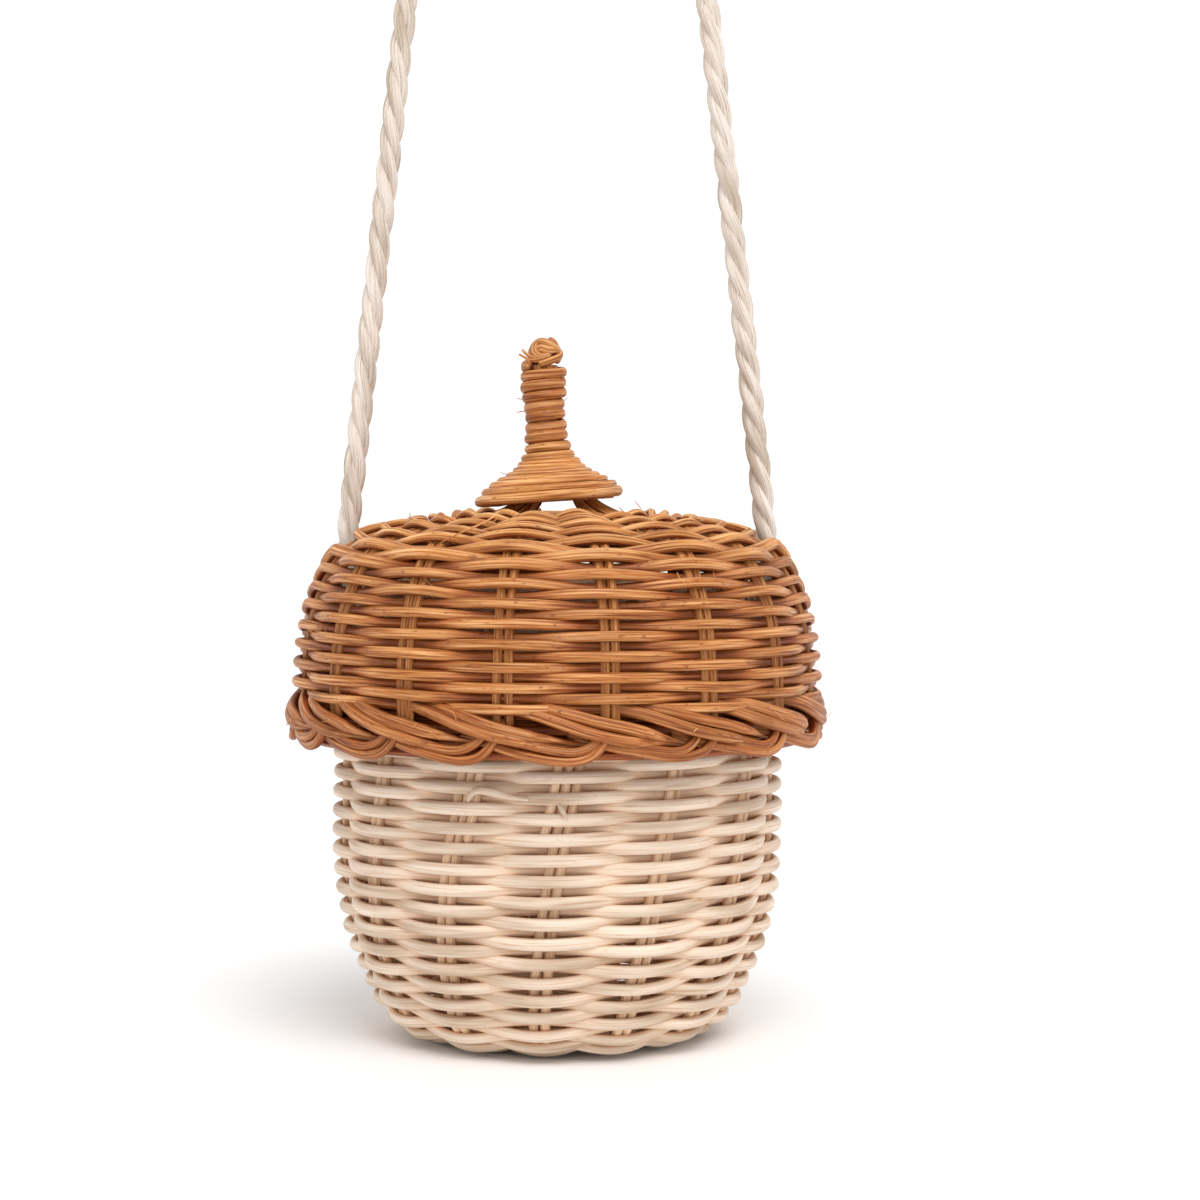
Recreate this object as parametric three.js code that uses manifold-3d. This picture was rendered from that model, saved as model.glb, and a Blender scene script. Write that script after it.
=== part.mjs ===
// A woven cane basket shaped like an acorn: a pale bowl, a darker domed lid with a wound
// stem, and a rope strap that runs through the lid's shoulders into the bowl.
// Millimetres, +Z up. The origin is the centre of the flat underside. The strap lies along X.

import * as THREE from "three";
import { mergeVertices } from "three/addons/utils/BufferGeometryUtils.js";
import Module from "manifold-3d";

const wasm = await Module();
wasm.setup();

// Cane and rods. A stake is a pair of rods, which crowd together where the stakes meet.
const weaverWidth = 3.3;
const weaverDepth = 2.9;
const rodDiameter = 2.6;
const rodWaistShare = 0.55;
const crowdingShare = 0.15;
const rowGap = 0.35;
const crossingGap = 0.42;
const seatGap = 0.3;
const rowPitch = weaverWidth + rowGap;

// Bowl
const bowlHeight = 140;
const bellyRadius = 64.3;
const footRadius = 41.3;
const heelRadius = 12;
const heelTurn = Math.PI / 3;
const heelSteps = 3;
const bowlPairs = 13;
const bowlPhaseShare = 0.75;
const bowlWeaverShares = [0, 0.32, 0.65, 1];
const bowlSteps = 9;
const baseWeaverRadius = 17;
const footFlat = 0.15;
const hubRadius = 13.5;
const hubRodDiameter = 3.5;
const hubRodOverlap = 0.2;
const hubRodSides = 6;
const rimRadius = 54.5;
const rimHalfWidth = 3.8;
const rimHalfHeight = 5.5;
// Radius as a share of the belly's, and height as a share of the bowl's
const bowlShares = [
  [0.876, 0.152],
  [0.943, 0.226],
  [0.977, 0.309],
  [0.995, 0.388],
  [1, 0.486],
  [0.999, 0.571],
  [0.994, 0.657],
  [0.968, 0.75],
  [0.915, 0.843],
];

// Lid. It reaches so far down over the bowl, with so much room over the bowl's rim, and it is
// so much wider than its border's middle.
const lidReach = 44;
const lidRoom = 16;
const lidHeight = bowlHeight - lidReach;
const lidRise = lidReach + lidRoom;
const lidSpread = 0.6;
const lidPairs = 16;
const lidSeamPairs = 4;
const lidWeaverShares = [0, 0.42, 1];
const lidPhaseShare = 0.5;
const lidSteps = 12;
const crownRadius = 27;
const borderHalf = 6.8;
const borderLobes = 3;
const borderSteps = 3;
// Radius as a share of the lid's, and height as a share of its rise
const lidShares = [
  [0.286, 1.043],
  [0.39, 1.003],
  [0.519, 0.987],
  [0.623, 0.967],
  [0.731, 0.933],
  [0.812, 0.888],
  [0.87, 0.83],
  [0.912, 0.75],
  [0.943, 0.658],
  [0.969, 0.542],
  [0.988, 0.383],
  [1, 0.217],
];
// Places in one lobe of a border: a share of the lobe, and of the border's half size
const lobeShares = [
  [0, 1],
  [0.34, 0.9],
  [0.66, 0.84],
];

// Stem: a wound flare and neck over gathered rods, with a knot on top. It stands on the dome.
const coreRise = 9.3;
const coreFloor = lidRise + coreRise;
const stakeEndRadius = 13;
const stakeTuck = 3.5;
const facingShare = 0.9;
const windingDiameter = 2.5;
const windingGap = 0.5;
const windingSteps = 13;
const windingSides = 6;
const flareRise = 1.2;
const flareFoot = coreFloor + flareRise;
const flareRadius = 21.2;
const flareHeight = 18;
const neckRadius = 5.25;
const neckLength = 22.5;
const neckTop = flareFoot + flareHeight + neckLength;
const profileSteps = 10;
const knotRadius = 3.1;
const knotCord = 2.6;
const knotSteps = 32;
// Shares of the way from the neck's radius to the flare's, and of the flare's height
const flareShares = [
  [1, 0],
  [0.93, 0.1],
  [0.75, 0.24],
  [0.4, 0.41],
  [0.17, 0.56],
  [0.05, 0.75],
  [0, 1],
];

// Strap: half its route, as distance from the middle and height, from its knot in the bowl
// to the top of the arch
const ropeDiameter = 7;
const ropeSides = 8;
const ropeSteps = 44;
const strapSide = 0.8;
const strapRoute = [
  [46.4, 120.9],
  [50.6, 121.1],
  [55.4, 122.8],
  [59.7, 126.3],
  [62.1, 131.3],
  [63, 136.6],
  [63.8, 142],
  [64.6, 147.5],
  [64.9, 152],
  [64.8, 157],
  [64.1, 164],
  [61.9, 184],
  [59.1, 210],
  [55.8, 240],
  [52.2, 272],
  [48.7, 304],
  [46, 328],
  [43.5, 345],
  [38, 359.5],
  [28.5, 370.5],
  [15, 377.6],
  [0, 380],
];
const strapKnotRadius = 7.2;
const strapKnotLength = 12;
const strapKnotSides = 10;
// Profile of a strap knot: shares of its length and of its radius
const strapKnotShares = [
  [0, 0],
  [0, 0.72],
  [0.16, 0.98],
  [0.36, 0.86],
  [0.52, 1],
  [0.68, 0.84],
  [0.86, 0.96],
  [1, 0.62],
  [1, 0],
];

// Where the rows give way around the strap: room beside it, and how far the rows move
// before and after their parting, over what reach of wall
const strapRoom = 0.9;
const lidHoleShare = 0.86;
const lidHoleHeight = lidHeight + lidHoleShare * lidRise;
const lidHoleInward = 11.6;
const lidHoleOutward = 8.4;
const lidHoleReach = 36;
const bowlHoleDepth = 12;
const bowlHoleReach = 42;

const paleCane = { color: 0xdccaa9, roughness: 0.72, metalness: 0 };
const paleRod = { color: 0xc9b08a, roughness: 0.76, metalness: 0 };
const brownCane = { color: 0xb9783f, roughness: 0.68, metalness: 0 };
const brownRod = { color: 0x9c6233, roughness: 0.72, metalness: 0 };
const cottonRope = { color: 0xe6dbca, roughness: 0.95, metalness: 0 };

const basket = new THREE.Group();
const bowl = new THREE.Group();
const lid = new THREE.Group();
const strap = new THREE.Group();
basket.add(bowl, lid, strap);

function addPiece(group, name, geometry, finish) {
  const mesh = new THREE.Mesh(geometry, new THREE.MeshStandardMaterial(finish));
  mesh.name = name;
  group.add(mesh);
}

// Closed surfaces

function closedGeometry(points, triangles) {
  let volume = 0;
  const cross = new THREE.Vector3();
  for (const [a, b, c] of triangles) {
    volume += points[a].dot(cross.crossVectors(points[b], points[c]));
  }
  const facing = volume < 0 ? triangles.map(([a, b, c]) => [a, c, b]) : triangles;
  const geometry = new THREE.BufferGeometry().setFromPoints(points);
  geometry.setIndex(facing.flat());
  return geometry;
}

// Triangles between two rings of points, given the number of the first point of each. The
// far ring's points are taken from a later one on.
function ringSpan(near, far, sides, later = 0) {
  const triangles = [];
  for (let k = 0; k < sides; k += 1) {
    const next = (k + 1) % sides;
    const across = far + ((k + later) % sides);
    const nextAcross = far + ((next + later) % sides);
    triangles.push([near + k, near + next, nextAcross]);
    triangles.push([near + k, nextAcross, across]);
  }
  return triangles;
}

// Skins a row of rings of equally many points, with flat ends.
function loft(rings) {
  const sides = rings[0].length;
  const last = (rings.length - 1) * sides;
  const triangles = [];
  for (let near = 0; near < last; near += sides) {
    triangles.push(...ringSpan(near, near + sides, sides));
  }
  for (let k = 1; k < sides - 1; k += 1) {
    triangles.push([0, k + 1, k]);
    triangles.push([last, last + k, last + k + 1]);
  }
  return closedGeometry(rings.flat(), triangles);
}

// Skins a closed loop of rings, which is twisted by so many points where it closes.
function loopedLoft(rings, later) {
  const sides = rings[0].length;
  const last = (rings.length - 1) * sides;
  const triangles = ringSpan(last, 0, sides, later);
  for (let near = 0; near < last; near += sides) {
    triangles.push(...ringSpan(near, near + sides, sides));
  }
  return closedGeometry(rings.flat(), triangles);
}

function toSolid(geometry) {
  const bare = geometry.clone();
  bare.deleteAttribute("normal");
  bare.deleteAttribute("uv");
  const merged = mergeVertices(bare);
  return new wasm.Manifold(
    new wasm.Mesh({
      numProp: 3,
      vertProperties: merged.attributes.position.array,
      triVerts: new Uint32Array(merged.index.array),
    }),
  );
}

function toGeometry(solid) {
  const { vertProperties, triVerts } = solid.getMesh();
  const geometry = new THREE.BufferGeometry();
  geometry.setAttribute("position", new THREE.BufferAttribute(vertProperties, 3));
  geometry.setIndex(new THREE.BufferAttribute(triVerts, 1));
  return geometry;
}

// Woven walls

// The middle line of a woven wall of revolution, through points of radius and height.
// Places on it go by the length from its start. side is 1 where the outside of the wall is
// to the right of the line's way, and -1 where it is to the left.
class Wall {
  constructor(points, side, pairs, phaseShare, seam = 0) {
    this.points = points;
    this.seam = seam;
    this.side = side;
    this.pairs = pairs;
    this.step = (2 * Math.PI) / pairs;
    this.phase = phaseShare * this.step;
    this.partings = [];
    this.lengths = [0];
    for (let i = 1; i < points.length; i += 1) {
      this.lengths.push(this.lengths[i - 1] + points[i].distanceTo(points[i - 1]));
    }
    this.length = this.lengths[points.length - 1];
    this.headings = points.map((point, i) => {
      const before = points[Math.max(i - 1, 0)];
      const after = points[Math.min(i + 1, points.length - 1)];
      return Math.atan2(after.y - before.y, after.x - before.x);
    });
  }

  // Radius, height, heading and bend at a length along the line.
  at(length) {
    const last = this.points.length - 2;
    let i = 0;
    while (i < last && this.lengths[i + 1] < length) {
      i += 1;
    }
    const span = this.lengths[i + 1] - this.lengths[i];
    const share = (length - this.lengths[i]) / span;
    const place = this.points[i].clone().lerp(this.points[i + 1], share);
    const turn = this.headings[i + 1] - this.headings[i];
    return {
      radius: place.x,
      height: place.y,
      heading: this.headings[i] + turn * share,
      bend: Math.abs(turn) / span,
    };
  }

  // The length at which the line first passes a test on its radius and height.
  lengthWhere(passes) {
    const i = this.points.findIndex((point) => passes(point.x, point.y));
    let low = this.lengths[i - 1];
    let high = this.lengths[i];
    while (high - low > rowGap * searchShare) {
      const middle = (low + high) / 2;
      const { radius, height } = this.at(middle);
      if (passes(radius, height)) {
        high = middle;
      } else {
        low = middle;
      }
    }
    return high;
  }

  // A point of the wall's cross-section at an angle, never under the ground: out is towards
  // the outside, and along is along the line.
  place(angle, { radius, height, heading }, out, along = 0) {
    const toX = this.side * Math.sin(heading) * out + Math.cos(heading) * along;
    const toZ = -this.side * Math.cos(heading) * out + Math.sin(heading) * along;
    const reach = radius + toX;
    return new THREE.Vector3(
      reach * Math.cos(angle),
      reach * Math.sin(angle),
      Math.max(0, height + toZ),
    );
  }

  pairHalfWidth(radius) {
    return Math.min(rodDiameter, crowdingShare * this.step * radius);
  }

  // How far a weaver's middle stands out over a stake and in under one, so that it clears
  // the stake's edges on its slanting way to the next.
  crossing(length) {
    const here = this.at(length);
    const room = weaverDepth / 2 + rodDiameter / 2 + crossingGap;
    const half = this.pairHalfWidth(here.radius);
    const out = this.place(0, here, 1).sub(this.place(0, here, 0));
    let over = room;
    let under = room;
    for (let i = 0; i < crossingRounds; i += 1) {
      const outer = this.place(0, here, over);
      const inner = this.place(0, here, -under);
      const nextInner = this.place(this.step, here, -under);
      const nextOuter = this.place(this.step, here, over);
      const fall = outer.clone().sub(nextInner);
      const rise = nextOuter.clone().sub(inner);
      over = room + (half * fall.dot(out)) / Math.abs(fall.y);
      under = room + half * Math.max(0, rise.dot(out) / rise.y);
    }
    return { over, under };
  }

  // Makes rows give way at an angle: before the parting they move back, and after it on.
  part(angle, parting, back, on, reach) {
    const { radius } = this.at(parting);
    const half = (ropeDiameter / 2 + strapRoom) / radius;
    const nearStake = (2 * rodDiameter) / radius;
    const stakeBefore = (place) => {
      return this.phase + this.step * Math.floor((place - this.phase) / this.step);
    };
    let left = angle - half;
    let right = angle + half;
    if (left - stakeBefore(left) < nearStake) {
      left = stakeBefore(left);
    }
    if (stakeBefore(right) + this.step - right < nearStake) {
      right = stakeBefore(right) + this.step;
    }
    const middle = (left + right) / 2;
    this.partings.push({
      left,
      right,
      middle,
      leftEnd: stakeBefore(left - half / 2),
      rightEnd: stakeBefore(right + half / 2) + this.step,
      parting,
      back,
      on,
      reach,
    });
  }

  // How far a row moves at an angle, and the share of its width that it keeps.
  giveWay(angle, length) {
    for (const p of this.partings) {
      const turns = Math.round((angle - p.middle) / (2 * Math.PI));
      const local = angle - turns * 2 * Math.PI;
      const left = (local - p.leftEnd) / (p.left - p.leftEnd);
      const right = (p.rightEnd - local) / (p.rightEnd - p.right);
      const weight = Math.min(1, Math.max(0, Math.min(left, right)));
      if (weight > 0) {
        const way = length < p.parting ? -1 : 1;
        const most = way * weight * (way < 0 ? p.back : p.on);
        const moveAt = (place) => {
          return most * Math.max(0, 1 - (way * (place - p.parting)) / p.reach);
        };
        const half = rowPitch / 2;
        const spread = moveAt(length + half) - moveAt(length - half);
        return { move: moveAt(length), keep: 1 + spread / rowPitch };
      }
    }
    return { move: 0, keep: 1 };
  }

  // The furthest that a row moves within the spans on both sides of a crossing.
  mostMove(angle, length) {
    const moves = [-nearShare, 0, nearShare].map((share) => {
      return Math.abs(this.giveWay(angle + share * this.step, length).move);
    });
    return Math.max(...moves);
  }

  // Whether the cane passes over a stake. Rows alternate by themselves where the stakes are
  // odd in number. Where they are even, the cane takes the two at the seam together.
  isOver(crossing) {
    const turns = Math.floor((crossing - this.seam) / this.pairs);
    const shift = this.pairs % 2 === 0 ? turns : 1;
    return (crossing + shift) % 2 === 0;
  }

  // One weaving cane, from one crossing to another. It starts at a length along the wall.
  weaver(firstCrossing, lastCrossing, start) {
    const stations = [];
    for (let i = firstCrossing; i <= lastCrossing; i += 1) {
      const angle = this.phase + i * this.step;
      const length = start + ((i - firstCrossing) * rowPitch) / this.pairs;
      const { move } = this.giveWay(angle, length);
      const { over, under } = this.crossing(length + move);
      const spare = this.mostMove(angle, length) * spareShare;
      const station = {
        angle,
        length,
        out: this.isOver(i) ? over + spare : -under - spare,
      };
      if (stations.length) {
        this.addPartingStations(stations, station);
      }
      stations.push(station);
    }
    const first = stations[0];
    const last = stations[stations.length - 1];
    first.angle += seatGap / this.at(first.length).radius;
    last.angle -= seatGap / this.at(last.length).radius;
    return loft(stations.map((station) => this.weaverRing(station)));
  }

  addPartingStations(stations, next) {
    const before = stations[stations.length - 1];
    for (const p of this.partings) {
      for (const edge of [p.left, p.right]) {
        const turns = Math.ceil((before.angle - edge) / (2 * Math.PI));
        const angle = edge + turns * 2 * Math.PI;
        const share = (angle - before.angle) / (next.angle - before.angle);
        if (share > edgeShare && share < 1 - edgeShare) {
          const length = THREE.MathUtils.lerp(before.length, next.length, share);
          const out = THREE.MathUtils.lerp(before.out, next.out, share);
          if (Math.abs(length - p.parting) < p.reach) {
            stations.push({ angle, length, out });
          }
        }
      }
    }
  }

  weaverRing({ angle, length, out }) {
    const { move, keep } = this.giveWay(angle, length);
    const here = this.at(length + move);
    const room = rowPitch * keep * (1 - (here.bend * weaverDepth) / 2);
    const wide = (room - rowGap) / 2;
    const deep = weaverDepth / 2;
    return [
      this.place(angle, here, out + deep, wide),
      this.place(angle, here, out + deep, -wide),
      this.place(angle, here, out - deep, -wide),
      this.place(angle, here, out - deep, wide),
    ];
  }

  // One stake, from a length on: two rods side by side, joined at a waist.
  stake(index, start = 0) {
    const angle = this.phase + index * this.step;
    const across = new THREE.Vector3(-Math.sin(angle), Math.cos(angle), 0);
    const half = rodDiameter / 2;
    const places = [start, ...this.lengths.filter((length) => length > start)];
    const rings = places.map((length) => {
      const here = this.at(length);
      const wide = this.pairHalfWidth(here.radius);
      const corner = (sideways, out) => {
        return this.place(angle, here, out).addScaledVector(across, sideways);
      };
      return [
        corner(0, half * rodWaistShare),
        corner(wide, half),
        corner(wide, -half),
        corner(0, -half * rodWaistShare),
        corner(-wide, -half),
        corner(-wide, half),
      ];
    });
    return loft(rings);
  }
}

// Smallest parts of a search and of a span between crossings, as shares
const searchShare = 0.01;
const edgeShare = 0.02;
const crossingRounds = 6;
const nearShare = 0.4;
const spareShare = 0.05;

// Points of radius and height on a smooth line through a few of them.
function smoothLine(points, steps) {
  const curve = new THREE.SplineCurve(points.map(([x, y]) => new THREE.Vector2(x, y)));
  return curve.getSpacedPoints(steps);
}

// A rolled border: lobes that wind once past each other from stake to stake. top is the
// angle in its section where a lobe meets each stake.
function rolledBorder({ radius, height, halfWidth, halfHeight, pairs, phase, top }) {
  const count = pairs * borderSteps;
  const rings = [];
  for (let i = 0; i < count; i += 1) {
    const around = phase + (i * 2 * Math.PI) / count;
    const twist = top - (i * 2 * Math.PI) / (borderSteps * borderLobes);
    const ring = [];
    for (let lobe = 0; lobe < borderLobes; lobe += 1) {
      for (const [share, size] of lobeShares) {
        const angle = twist + ((lobe + share) * 2 * Math.PI) / borderLobes;
        const reach = radius + halfWidth * size * Math.cos(angle);
        ring.push(
          new THREE.Vector3(
            reach * Math.cos(around),
            reach * Math.sin(around),
            height + halfHeight * size * Math.sin(angle),
          ),
        );
      }
    }
    rings.push(ring);
  }
  const lobesLeft = (borderLobes - (pairs % borderLobes)) % borderLobes;
  return loopedLoft(rings, lobesLeft * lobeShares.length);
}

// Bowl

// A flat weave's lowest point under its middle line. The ground wears it by footFlat.
function flatWeaveDepth() {
  const line = [baseWeaverRadius, footRadius].map((r) => {
    return new THREE.Vector2(r, bellyRadius);
  });
  const flat = new Wall(line, 1, bowlPairs, bowlPhaseShare);
  const depths = [0, flat.length].map((length) => flat.crossing(length).over);
  return Math.max(...depths) + weaverDepth / 2;
}

const baseHeight = flatWeaveDepth() - footFlat;
const bowlLine = [
  [hubRadius + seatGap, baseHeight],
  [footRadius, baseHeight],
].map(([x, y]) => new THREE.Vector2(x, y));
for (let i = 1; i < heelSteps; i += 1) {
  const turn = (heelTurn * i) / heelSteps;
  const x = footRadius + heelRadius * Math.sin(turn);
  const y = baseHeight + heelRadius * (1 - Math.cos(turn));
  bowlLine.push(new THREE.Vector2(x, y));
}
const heelEnd = [
  footRadius + heelRadius * Math.sin(heelTurn),
  baseHeight + heelRadius * (1 - Math.cos(heelTurn)),
];
const rimHeight = bowlHeight - rimHalfHeight;
const bowlTop = rimHeight - rimHalfHeight - seatGap;
const bowlSide = smoothLine(
  [
    heelEnd,
    ...bowlShares.map(([x, y]) => [x * bellyRadius, y * bowlHeight]),
    [rimRadius, bowlTop],
  ],
  bowlSteps,
);
const bowlWall = new Wall([...bowlLine, ...bowlSide], 1, bowlPairs, bowlPhaseShare);
const bowlHoleAngle = Math.asin(strapSide / rimRadius);
for (const angle of [bowlHoleAngle, Math.PI - bowlHoleAngle]) {
  bowlWall.part(angle, bowlWall.length, bowlHoleDepth, 0, bowlHoleReach);
}

// Two crossed layers of flat-sided rods, cut round.
function hub() {
  const pitch = hubRodDiameter - hubRodOverlap;
  const layerHeight = hubRodDiameter * Math.cos(Math.PI / hubRodSides);
  const layerPitch = layerHeight - hubRodOverlap;
  const reach = Math.floor((hubRadius - hubRodDiameter / 2) / pitch);
  const rods = [];
  for (const layer of [0, 1]) {
    for (let i = -reach; i <= reach; i += 1) {
      const rod = new THREE.CylinderGeometry(
        hubRodDiameter / 2,
        hubRodDiameter / 2,
        4 * hubRadius,
        hubRodSides,
      );
      rod.rotateY(Math.PI / hubRodSides);
      rod.translate(i * pitch, 0, (layer - 0.5) * layerPitch);
      if (layer === 1) {
        rod.rotateZ(Math.PI / 2);
      }
      rods.push(toSolid(rod));
    }
  }
  const disc = new THREE.CylinderGeometry(
    hubRadius,
    hubRadius,
    4 * hubRodDiameter,
    bowlPairs,
  ).rotateX(Math.PI / 2);
  const whole = rods.reduce((sum, rod) => sum.add(rod));
  const geometry = toGeometry(whole.intersect(toSolid(disc)));
  return geometry.translate(0, 0, layerPitch / 2 + layerHeight / 2);
}

const baseStart = bowlWall.lengthWhere((radius) => radius > baseWeaverRadius);
const bowlEnd = bowlWall.length - rowPitch / 2;
const bowlCrossings = Math.floor(((bowlEnd - baseStart) / rowPitch) * bowlPairs);
const heelStart = bowlWall.lengthWhere((radius) => radius > heelEnd[0]);
const baseCrossings = Math.floor(((heelStart - baseStart) / rowPitch) * bowlPairs);
const lengthAtCrossing = (i) => baseStart + (i * rowPitch) / bowlPairs;

addPiece(bowl, "base_hub", hub(), paleRod);
addPiece(
  bowl,
  "base_weaver",
  bowlWall.weaver(0, baseCrossings, baseStart),
  paleCane,
);
const sideCrossings = bowlWeaverShares.map((share) => {
  return Math.round(THREE.MathUtils.lerp(baseCrossings, bowlCrossings, share));
});
["lower", "middle", "upper"].forEach((level, i) => {
  const [first, last] = [sideCrossings[i], sideCrossings[i + 1]];
  const start = lengthAtCrossing(first);
  const cane = bowlWall.weaver(first, last, start);
  addPiece(bowl, `bowl_weaver_${level}`, cane, paleCane);
});
for (let i = 0; i < bowlPairs; i += 1) {
  const number = String(i + 1).padStart(2, "0");
  addPiece(bowl, `bowl_stake_${number}`, bowlWall.stake(i), paleRod);
}
addPiece(
  bowl,
  "bowl_rim_border",
  rolledBorder({
    radius: rimRadius,
    height: rimHeight,
    halfWidth: rimHalfWidth,
    halfHeight: rimHalfHeight,
    pairs: bowlPairs,
    phase: bowlWall.phase,
    top: -Math.PI / 2,
  }),
  paleCane,
);

// Lid

// The border hugs the bowl's swell at its own height.
const swell = bowlWall.lengthWhere((radius, height) => height > lidHeight);
const swellRadius =
  bowlWall.at(swell).radius + bowlWall.crossing(swell).over + weaverDepth / 2;
const borderRadius = swellRadius + seatGap + borderHalf;
const lidRadius = borderRadius + lidSpread;
const lidLine = smoothLine(
  [
    [stakeEndRadius, lidHeight + coreFloor - seatGap - rodDiameter / 2],
    ...lidShares.map(([x, y]) => [x * lidRadius, lidHeight + y * lidRise]),
    [lidRadius, lidHeight + borderHalf + seatGap],
  ],
  lidSteps,
);
const lidWall = new Wall(lidLine, -1, lidPairs, lidPhaseShare, lidSeamPairs);
const lidHole = lidWall.lengthWhere((radius, height) => {
  return height < lidHoleHeight;
});
const lidHoleAngle = Math.asin(strapSide / lidWall.at(lidHole).radius);
for (const angle of [lidHoleAngle, Math.PI - lidHoleAngle]) {
  lidWall.part(angle, lidHole, lidHoleInward, lidHoleOutward, lidHoleReach);
}

const crownStart = lidWall.lengthWhere((radius) => radius > crownRadius);
const lidEnd = lidWall.length - rowPitch / 2;
const lidCrossings = Math.floor(((lidEnd - crownStart) / rowPitch) * lidPairs);
["crown", "side"].forEach((level, i) => {
  const [first, last] = [0, 1].map((k) => {
    return lidSeamPairs + Math.round(lidWeaverShares[i + k] * lidCrossings);
  });
  const start = crownStart + ((first - lidSeamPairs) * rowPitch) / lidPairs;
  addPiece(lid, `lid_weaver_${level}`, lidWall.weaver(first, last, start), brownCane);
});
// The stakes carry the stem, but those that face the front and the back stop at the crown,
// which leaves a gap to see through under the flare.
const crownEdge = lidWall.lengthWhere((radius) => radius > crownRadius - stakeTuck);
for (let i = 0; i < lidPairs; i += 1) {
  const number = String(i + 1).padStart(2, "0");
  const facing = Math.abs(Math.sin(lidWall.phase + i * lidWall.step));
  const start = facing > facingShare ? crownEdge : 0;
  addPiece(lid, `lid_stake_${number}`, lidWall.stake(i, start), brownRod);
}
addPiece(
  lid,
  "lid_border",
  rolledBorder({
    radius: borderRadius,
    height: lidHeight,
    halfWidth: borderHalf,
    halfHeight: borderHalf,
    pairs: lidPairs,
    phase: lidWall.phase,
    top: Math.PI / 2,
  }),
  brownCane,
);

// Stem

const flareLine = smoothLine(
  flareShares.map(([x, y]) => [
    neckRadius + x * (flareRadius - neckRadius),
    lidHeight + flareFoot + y * flareHeight,
  ]),
  profileSteps,
);
const stemTop = lidHeight + neckTop;
const windingLine = new Wall(
  [...flareLine, new THREE.Vector2(neckRadius, stemTop - windingDiameter / 2)],
  1,
  windingSteps,
  0,
);

// Gathered rods under the winding, a solid of revolution.
function stemCore() {
  const inset = windingDiameter / 2 + seatGap;
  const profile = windingLine.points.map((point, i) => {
    const heading = windingLine.headings[i];
    const x = point.x - inset * Math.sin(heading);
    const y = point.y + inset * Math.cos(heading);
    return new THREE.Vector2(x, y);
  });
  const floor = lidHeight + coreFloor;
  const above = profile.filter((point) => point.y > floor + seatGap);
  const neck = above[above.length - 1].x;
  const outline = [
    new THREE.Vector2(0, floor),
    new THREE.Vector2(above[0].x, floor),
    ...above.slice(0, -1),
    new THREE.Vector2(neck, stemTop),
    new THREE.Vector2(0, stemTop),
  ];
  return new THREE.LatheGeometry(outline, windingSteps).rotateX(Math.PI / 2);
}

// The winding is one cane from the flare's edge to the top of the neck. Its ends run straight.
function windingPath() {
  const pitch = windingDiameter + windingGap;
  const count = Math.floor((windingLine.length / pitch) * windingSteps);
  const path = [];
  for (let i = 0; i <= count; i += 1) {
    const here = windingLine.at((i * pitch) / windingSteps);
    path.push(windingLine.place(i * windingLine.step, here, 0));
  }
  const leadIn = path[0].clone().sub(path[1]).setLength(windingDiameter);
  const leadOut = path[count].clone().sub(path[count - 1]).setLength(windingDiameter);
  path.unshift(path[0].clone().add(leadIn));
  path.push(path[count + 1].clone().add(leadOut));
  return path;
}

function leastGap(path) {
  let least = Infinity;
  path.forEach((a, i) => {
    path.slice(i + Math.ceil(windingSteps / 2)).forEach((b) => {
      least = Math.min(least, a.distanceTo(b) - windingDiameter);
    });
  });
  return least;
}

function winding(path) {
  const half = windingDiameter / 2;
  const rings = path.map((point, i) => {
    const before = path[Math.max(i - 1, 0)];
    const after = path[Math.min(i + 1, path.length - 1)];
    const way = after.clone().sub(before).normalize();
    const out = new THREE.Vector3(point.x, point.y, 0);
    out.addScaledVector(way, -out.dot(way)).normalize();
    const up = new THREE.Vector3().crossVectors(way, out);
    const ring = [];
    for (let k = 0; k < windingSides; k += 1) {
      const angle = (2 * Math.PI * k) / windingSides;
      const corner = point.clone().addScaledVector(out, half * Math.cos(angle));
      ring.push(corner.addScaledVector(up, half * Math.sin(angle)));
    }
    return ring;
  });
  return loft(rings);
}

const wound = windingPath();
console.log(`stem winding: least gap to itself ${leastGap(wound).toFixed(2)} mm`);
addPiece(lid, "stem_core", stemCore(), brownRod);
addPiece(lid, "stem_winding", winding(wound), brownCane);
const knotBow = new THREE.TorusKnotGeometry(
  knotRadius,
  knotCord / 2,
  knotSteps,
  windingSides,
).translate(0, 0, stemTop + seatGap + (knotRadius + knotCord) / 2);
addPiece(lid, "stem_knot", knotBow, brownCane);

// Strap

const rightHalf = strapRoute.map(([x, z]) => new THREE.Vector3(x, strapSide, z));
const leftHalf = strapRoute.map(([x, z]) => new THREE.Vector3(-x, strapSide, z));
const strapLine = new THREE.CatmullRomCurve3([
  ...rightHalf,
  ...leftHalf.reverse().slice(1),
]);
const ropeSection = [];
for (let k = 0; k < ropeSides; k += 1) {
  const angle = (2 * Math.PI * (k + 0.5)) / ropeSides;
  ropeSection.push(new THREE.Vector2(Math.cos(angle), Math.sin(angle)));
}
const ropeShape = new THREE.Shape(
  ropeSection.map((point) => point.multiplyScalar(ropeDiameter / 2)),
);
addPiece(
  strap,
  "strap",
  new THREE.ExtrudeGeometry(ropeShape, { steps: ropeSteps, extrudePath: strapLine }),
  cottonRope,
);
const [knotPlace] = strapRoute;
["right", "left"].forEach((name, i) => {
  const outline = strapKnotShares.map(([along, radius]) => {
    return new THREE.Vector2(radius * strapKnotRadius, along * strapKnotLength);
  });
  const side = i === 0 ? 1 : -1;
  const knot = new THREE.LatheGeometry(outline, strapKnotSides)
    .rotateZ((side * Math.PI) / 2)
    .translate(side * (knotPlace[0] - seatGap), strapSide, knotPlace[1]);
  addPiece(strap, `strap_knot_${name}`, knot, cottonRope);
});

export default basket;
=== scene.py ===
import math

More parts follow.
